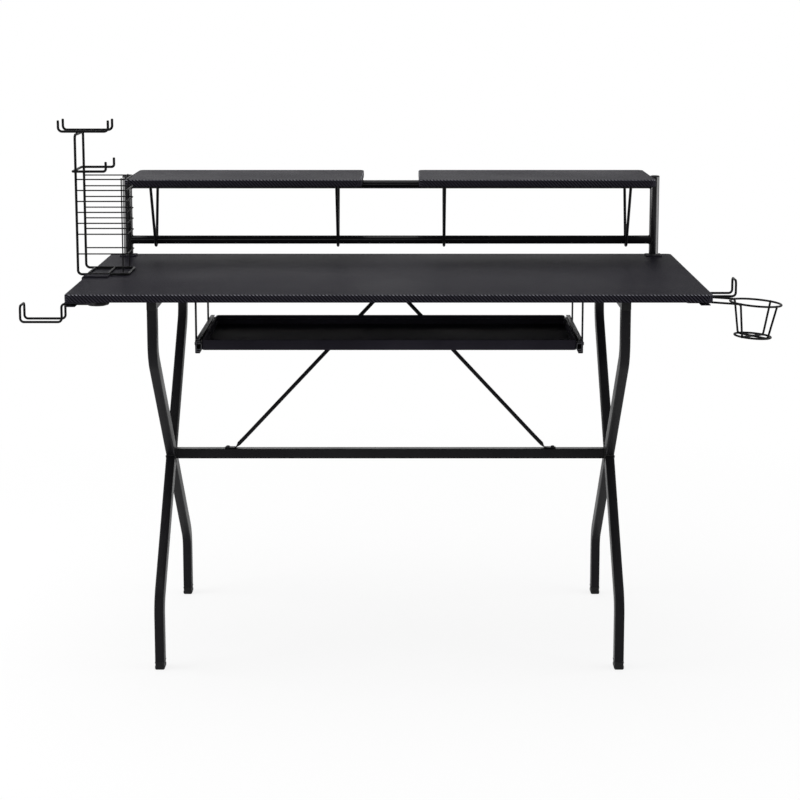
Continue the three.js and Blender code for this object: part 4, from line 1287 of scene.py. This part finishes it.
rings = pathHost([cupRing(cup["ring"], 0), cupRing(cup["base"], -cup["deep"])], closed=True)
sizes = {"Round": True, "Wide": cup["wire"], "Sides": facets["wire"], "Bend": 0.0}
settleWire(grown("cupRings", rings, sweptSection, wireCoat, sizes), "cup_holder")
arm, foot = cup["ring"] / 2 * math.sqrt(0.5), cup["base"] / 2 * math.sqrt(0.5)
arms = []
for side in (-1, 1):
    y = cupY + side * arm
    arms.append([Vector((cupLow.x, y, cupZ)), Vector((edgeX, y, cupZ)), atCorner(arm, -1, side, 0),
                 atCorner(foot, -1, side, -cup["deep"]), atCorner(foot, 1, -side, -cup["deep"]),
                 atCorner(arm, 1, -side, 0)])
settleWire(wires("cupArms", arms, cup["wire"], cup["bend"]))
corners = [(signX, signY) for signX in (-1, 1) for signY in (-1, 1)]
spots = [atCorner(arm, signX, signY, 0) for signX, signY in corners]
spots += [atCorner(foot, signX, signY, -cup["deep"]) for signX, signY in corners]
spots.append(drooped(cup["out"], cupY, -cup["deep"]))
settleWire(weldSpots("cupWelds", spots, cup["weld"]))
print("hooks and cup holder bent")


# keyboard tray: a folded pan with its rim hemmed inwards

tray = {
    "corner": 6 * mm,
    "cornerSteps": 8,
    "sheet": 1.5 * mm,
    "bend": 2.2 * mm,
    "bendSteps": 5,
    "flat": 1 * mm,             # floor that is left inside the bend
    "rim": ((0, 1.5), (0.2, 0.75), (0.75, 0.2), (1.5, 0), (2.25, 0.2), (2.8, 0.75), (3, 1.5), (3, 7),
            (2.9, 7.3), (1.7, 7.4), (1.5, 7.6)),        # how far in and how far down, in mm
    "screwAt": (0.1, 0.5, 0.9),
    "screwHigh": 0.45,          # share of the pan's height
}
low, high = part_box("keyboard_tray")
wide, deep, rise = high - low
sheet, bend, flat = tray["sheet"], tray["bend"], tray["flat"]
profile = [(bend + flat, 0)] + quarter(bend, tray["bendSteps"], 0, 0, 1)
profile += [(inset * mm, rise - drop * mm) for inset, drop in tray["rim"]]
profile += quarter(bend - flat, tray["bendSteps"], sheet, sheet, 1)[::-1] + [(sheet + bend, sheet)]
pan = stacked("trayPan", wide, deep, tray["corner"], profile, lowMiddle(low, high), plateCoat,
              steps=tray["cornerSteps"])
settle(pan, "tray", "painted_steel", "keyboard_tray")
trayScrews = [(Vector((x + out * sheet, low.y + deep * share, low.z + rise * tray["screwHigh"])), right * out)
              for x, out in ((low.x, 1), (high.x, -1)) for share in tray["screwAt"]]
print("tray folded")


# slides: three nested channels, with balls between them

slide = {
    "half": 13 * mm,            # half height of the outer channel
    "sheet": 1 * mm,
    "round": 1.6 * mm,
    "turnSteps": 4,
    "ball": 2.4 * mm,
    "balls": 9,
    "ballStep": 9 * mm,
    "outerStart": 0.5,          # the first ball of each row, as a share of the middle channel
    "innerStart": 0.06,
    "cageWide": 3.4 * mm,       # the thin strips that keep the balls apart
    "cageThick": 0.6 * mm,
    "cageEnd": 5 * mm,
}


# the outline of a channel: backX is its back, mouthX its open side
def channelOutline(backX, mouthX, half):
    way = 1 if mouthX > backX else -1
    sheet, radius, turn = slide["sheet"], slide["round"], slide["turnSteps"]
    outer = [(mouthX, half, 0.0), (backX, half, radius), (backX, -half, radius), (mouthX, -half, 0.0)]
    inner = [(mouthX, -half + sheet, 0.0), (backX + way * sheet, -half + sheet, radius - sheet),
             (backX + way * sheet, half - sheet, radius - sheet), (mouthX, half - sheet, 0.0)]
    outline = []
    for group, order in ((outer, 1), (inner, -1)):
        for x, z, bend in group:
            if bend <= 0:
                outline.append((x, z))
                continue
            centreX, centreZ = x + way * bend, z - math.copysign(bend, z)
            start = math.pi / 2 if z > 0 else math.pi
            turns = [start + math.pi / 2 * step / turn for step in range(turn + 1)][::order]
            outline += [(centreX + way * bend * math.cos(a), centreZ + bend * math.sin(a)) for a in turns]
    return outline[::way]


def channel(word, part, half, body, opens, slotName="plain_steel", material=dullZinc):
    node = "%s_%s_slide" % (word, part)
    low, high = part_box(node)
    backX, mouthX = (low.x, high.x) if opens > 0 else (high.x, low.x)
    z = (low.z + high.z) / 2
    rings = [[Vector((x, y, z + rise)) for x, rise in channelOutline(backX, mouthX, half)]
             for y in (high.y, low.y)]
    settle(skinned(word + part.capitalize() + "Slide", rings, material), body, slotName, node)
    return low, high


outerHalf = slide["half"]
middleHalf = outerHalf - slide["sheet"] - slide["ball"]
innerHalf = middleHalf - slide["sheet"] - slide["ball"]
ballRows = (("Outer", (outerHalf + middleHalf - slide["sheet"]) / 2, slide["outerStart"]),
            ("Inner", (middleHalf + innerHalf - slide["sheet"]) / 2, slide["innerStart"]))
half, thin = slide["cageWide"] / 2, slide["cageThick"] / 2
cut = thin / 2
cageOutline = [(half, cut - thin), (half, thin - cut), (half - cut, thin), (cut - half, thin),
               (-half, thin - cut), (-half, cut - thin), (cut - half, -thin), (half - cut, -thin)]
for word, side in sides:
    channel(word, "outer", outerHalf, "desk_frame", -side, "dark_zinc", blackZinc)
    low, high = channel(word, "middle", middleHalf, "middle_slides", -side)
    channel(word, "inner", innerHalf, "tray", side)
    centre, balls = (low + high) / 2, []
    for row, reach, start in ballRows:
        rowY = [low.y + (high.y - low.y) * start + i * slide["ballStep"] for i in range(slide["balls"])]
        ends = (rowY[-1] + slide["cageEnd"], rowY[0] - slide["cageEnd"])
        for level, z in (("Low", centre.z - reach), ("High", centre.z + reach)):
            balls += [Vector((centre.x, y, z)) for y in rowY]
            rings = [[Vector((centre.x + out, y, z + lift)) for out, lift in cageOutline] for y in ends]
            cage = skinned("%s%sCage%s" % (word, row, level), rings, dullZinc)
            settle(cage, "middle_slides", "plain_steel")
    sizes = {"On Line": False, "Drop": slide["ball"] / 2, "Uneven": 0.0}
    balls = grown(word + "SlideBalls", pathHost([balls], joined=False), weldDrops, brightZinc, sizes)
    settle(balls, "middle_slides", "plain_steel")
print("slides nested")


# plates, hangers and bracket: a merged copy of the solid with its edges eased

plates = {
    "edge": 0.4 * mm,           # rounding of the cut edges
    "mountEdge": 0.3 * mm,
    "steps": 2,
    "sharpest": 40,             # degrees between faces, from which an edge is eased
    "mountSheet": 1.5 * mm,
    "mountScrewIn": 6 * mm,     # from the inner edge and from both ends
    "hangerSheet": 2 * mm,
    "footScrewIn": 10 * mm,
}


def eased(node, edge):
    made = bmesh.new()
    made.from_mesh(bpy.data.objects[node].data)
    bmesh.ops.remove_doubles(made, verts=made.verts[:], dist=facets["join"])
    for face in made.faces:
        face.material_index = 0
    mesh = bpy.data.meshes.new(node)
    made.to_mesh(mesh)
    made.free()
    mesh.materials.append(plateCoat)
    piece = pieceOf(node + "_eased", mesh)
    bevel = piece.modifiers.new("ease", "BEVEL")
    bevel.width = edge
    bevel.segments = plates["steps"]
    bevel.limit_method = "ANGLE"
    bevel.angle_limit = math.radians(plates["sharpest"])
    settlePainted(piece, node)


for word, side in sides:
    node, inset = word + "_mount_plate", plates["mountScrewIn"]
    eased(node, plates["mountEdge"])
    low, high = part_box(node)
    x = (high.x if side < 0 else low.x) + side * inset
    screws += [(Vector((x, y, high.z - plates["mountSheet"])), -up) for y in (low.y + inset, high.y - inset)]
    for end in ("front", "rear"):
        node = "%s_%s_hanger" % (word, end)
        eased(node, plates["edge"])
        low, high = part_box(node)
        y, (footX, stripX) = (low.y + high.y) / 2, (low.x, high.x)[::-side]
        foot = Vector((footX - side * plates["footScrewIn"], y, high.z - plates["hangerSheet"]))
        strip = Vector((stripX + side * plates["hangerSheet"], y, middle(word + "_outer_slide").z))
        screws += [(foot, -up), (strip, right * side)]
eased("brace_bracket", plates["edge"])
print("plates eased")


# pan-head screws with a cross recess

screwHead = {
    "radius": 3.9 * mm,
    "high": 2.3 * mm,
    "sides": 32,
    "shape": ((1, 0), (1, 0.25), (0.95, 0.55), (0.82, 0.82), (0.66, 0.96)),    # shares of both
    "crossLong": 2.1 * mm,
    "crossWide": 0.55 * mm,
    "crossDeep": 1.3 * mm,
    "crossTaper": 0.75,
}


def headMesh():
    radius, high, angles = screwHead["radius"], screwHead["high"], around(screwHead["sides"])
    rings = [[spoke(angle) * radius * share + up * rise * high for angle in angles]
             for share, rise in screwHead["shape"]]
    for share, rise in ((1.0, high), (screwHead["crossTaper"], high - screwHead["crossDeep"])):
        ring = []
        for angle in angles:
            small, big = sorted((abs(math.cos(angle)), abs(math.sin(angle))))
            reach = screwHead["crossLong"] / big
            if small:
                reach = min(reach, screwHead["crossWide"] / small)
            ring.append(spoke(angle) * reach * share + up * rise)
        rings.append(ring)
    return skinned("screwHead", rings, blackZinc)


head = headMesh()
for name, body, places in (("frameScrews", "desk_frame", screws), ("trayScrews", "tray", trayScrews)):
    points, ways = zip(*places)
    host = pathHost([points], label="facing", values=ways, joined=False)
    settle(grown(name, host, screwHeads, blackZinc, {"Head": head}), body, "dark_zinc")
bpy.data.objects.remove(head)
print("screws driven")


# studio: pale floor, white all round for the eye and for gloss, soft lamps

studio = {
    "floor": 16.0,
    "floorColour": (0.8, 0.8, 0.8),
    "floorCloud": (0.82, 0.82, 0.82),
    "floorScale": 1.5,
    "floorRough": 0.9,
    "floorSpecular": 0.1,
    "floorLift": 0.82,          # share of plain white in the floor, for the eye alone
    "shadeTo": (0.9, 2.0),      # the floor's shading fades out between these distances
    "mirrorFrom": (-2.5, 0.0),  # front to back, between these the floor turns white in the gloss too
    "around": 0.5,              # strength of the surroundings on the object
    "gloss": 0.9,               # and in its gloss, from behind and from the sides
    "dim": 0.08,                # the same from the front, where the room is dark
    "dimFrom": (-0.85, -0.1),
}


def studioWorld():
    world = bpy.data.worlds.new("studio")
    scene.world = world
    world.use_nodes = True
    tree = world.node_tree
    tree.nodes.clear()
    path = addNode(tree, "ShaderNodeLightPath").outputs
    seen = maths(tree, "MAXIMUM", path["Is Camera Ray"], path["Is Transmission Ray"])
    toward = addNode(tree, "ShaderNodeTexCoord").outputs["Object"]
    mirrored = scaled(tree, axisOf(tree, toward, "Y"), *studio["dimFrom"], studio["dim"], studio["gloss"])
    inputs = {0: path["Is Glossy Ray"], 1: maths(tree, "SUBTRACT", mirrored, studio["around"]),
              2: studio["around"]}
    level = first(tree, "ShaderNodeMath", inputs, operation="MULTIPLY_ADD")
    inputs = {"Color": (1, 1, 1, 1), "Strength": maths(tree, "MAXIMUM", level, seen)}
    addNode(tree, "ShaderNodeOutputWorld", {"Surface": first(tree, "ShaderNodeBackground", inputs)})


def studioFloor():
    material, tree, shader, where = newMaterial("paleFloor", specular=studio["floorSpecular"])
    grain = noise(tree, where, studio["floorScale"], 2)
    colour = mixed(tree, grain, studio["floorColour"], studio["floorCloud"])
    tree.links.new(colour, shader.inputs["Base Color"])
    shader.inputs["Roughness"].default_value = studio["floorRough"]
    path = addNode(tree, "ShaderNodeLightPath").outputs
    mirrored = maths(tree, "MAXIMUM", path["Is Glossy Ray"], path["Is Transmission Ray"])
    mirrored = times(tree, mirrored, scaled(tree, axisOf(tree, where, "Y"), *studio["mirrorFrom"], 0.0, 1.0))
    seen = maths(tree, "MAXIMUM", path["Is Camera Ray"], mirrored)
    away = addNode(tree, "ShaderNodeVectorMath", {0: where}, operation="LENGTH").outputs["Value"]
    white = scaled(tree, away, *studio["shadeTo"], studio["floorLift"], 1.0)
    glow = first(tree, "ShaderNodeEmission", {"Color": (1, 1, 1, 1), "Strength": 1.0})
    both = first(tree, "ShaderNodeMixShader", {0: times(tree, seen, white), 1: shader.outputs[0], 2: glow})
    tree.links.new(both, tree.nodes["Material Output"].inputs["Surface"])
    reach = studio["floor"] / 2
    mesh = bpy.data.meshes.new("studioFloor")
    mesh.from_pydata([(x * reach, y * reach, 0) for x, y in ((-1, -1), (1, -1), (1, 1), (-1, 1))], [],
                     [(0, 1, 2, 3)])
    mesh.materials.append(material)
    pieceOf("studioFloor", mesh)


# name: place, what it looks at, width, height, watts
lamps = {
    "overhead": ((-0.5, 0.2, 3.4), (0.0, 0.0, 0.7), 3.2, 2.4, 46),
    "leftBox": ((-2.9, -0.4, 1.25), (0.0, 0.0, 0.7), 2.3, 1.7, 60),
    "rightBox": ((3.0, -0.5, 1.0), (0.0, 0.0, 0.7), 2.6, 1.5, 60),
    "frontFill": ((-1.0, -4.3, 1.3), (0.0, 0.0, 0.6), 2.4, 1.3, 20),
    "rearFill": ((-0.35, 4.0, 2.1), (0.0, 0.0, 0.6), 2.6, 1.6, 26),
}

studioWorld()
studioFloor()
for name, (place, target, wide, high, watts) in lamps.items():
    data = bpy.data.lights.new(name, "AREA")
    data.shape = "RECTANGLE"
    data.size, data.size_y, data.energy = wide, high, watts
    lamp = bpy.data.objects.new(name, data)
    lamp.location = place
    lamp.rotation_euler = (Vector(target) - Vector(place)).to_track_quat("-Z", "Y").to_euler()
    scene.collection.objects.link(lamp)
scene.view_settings.view_transform = "Standard"
print("studio lit")
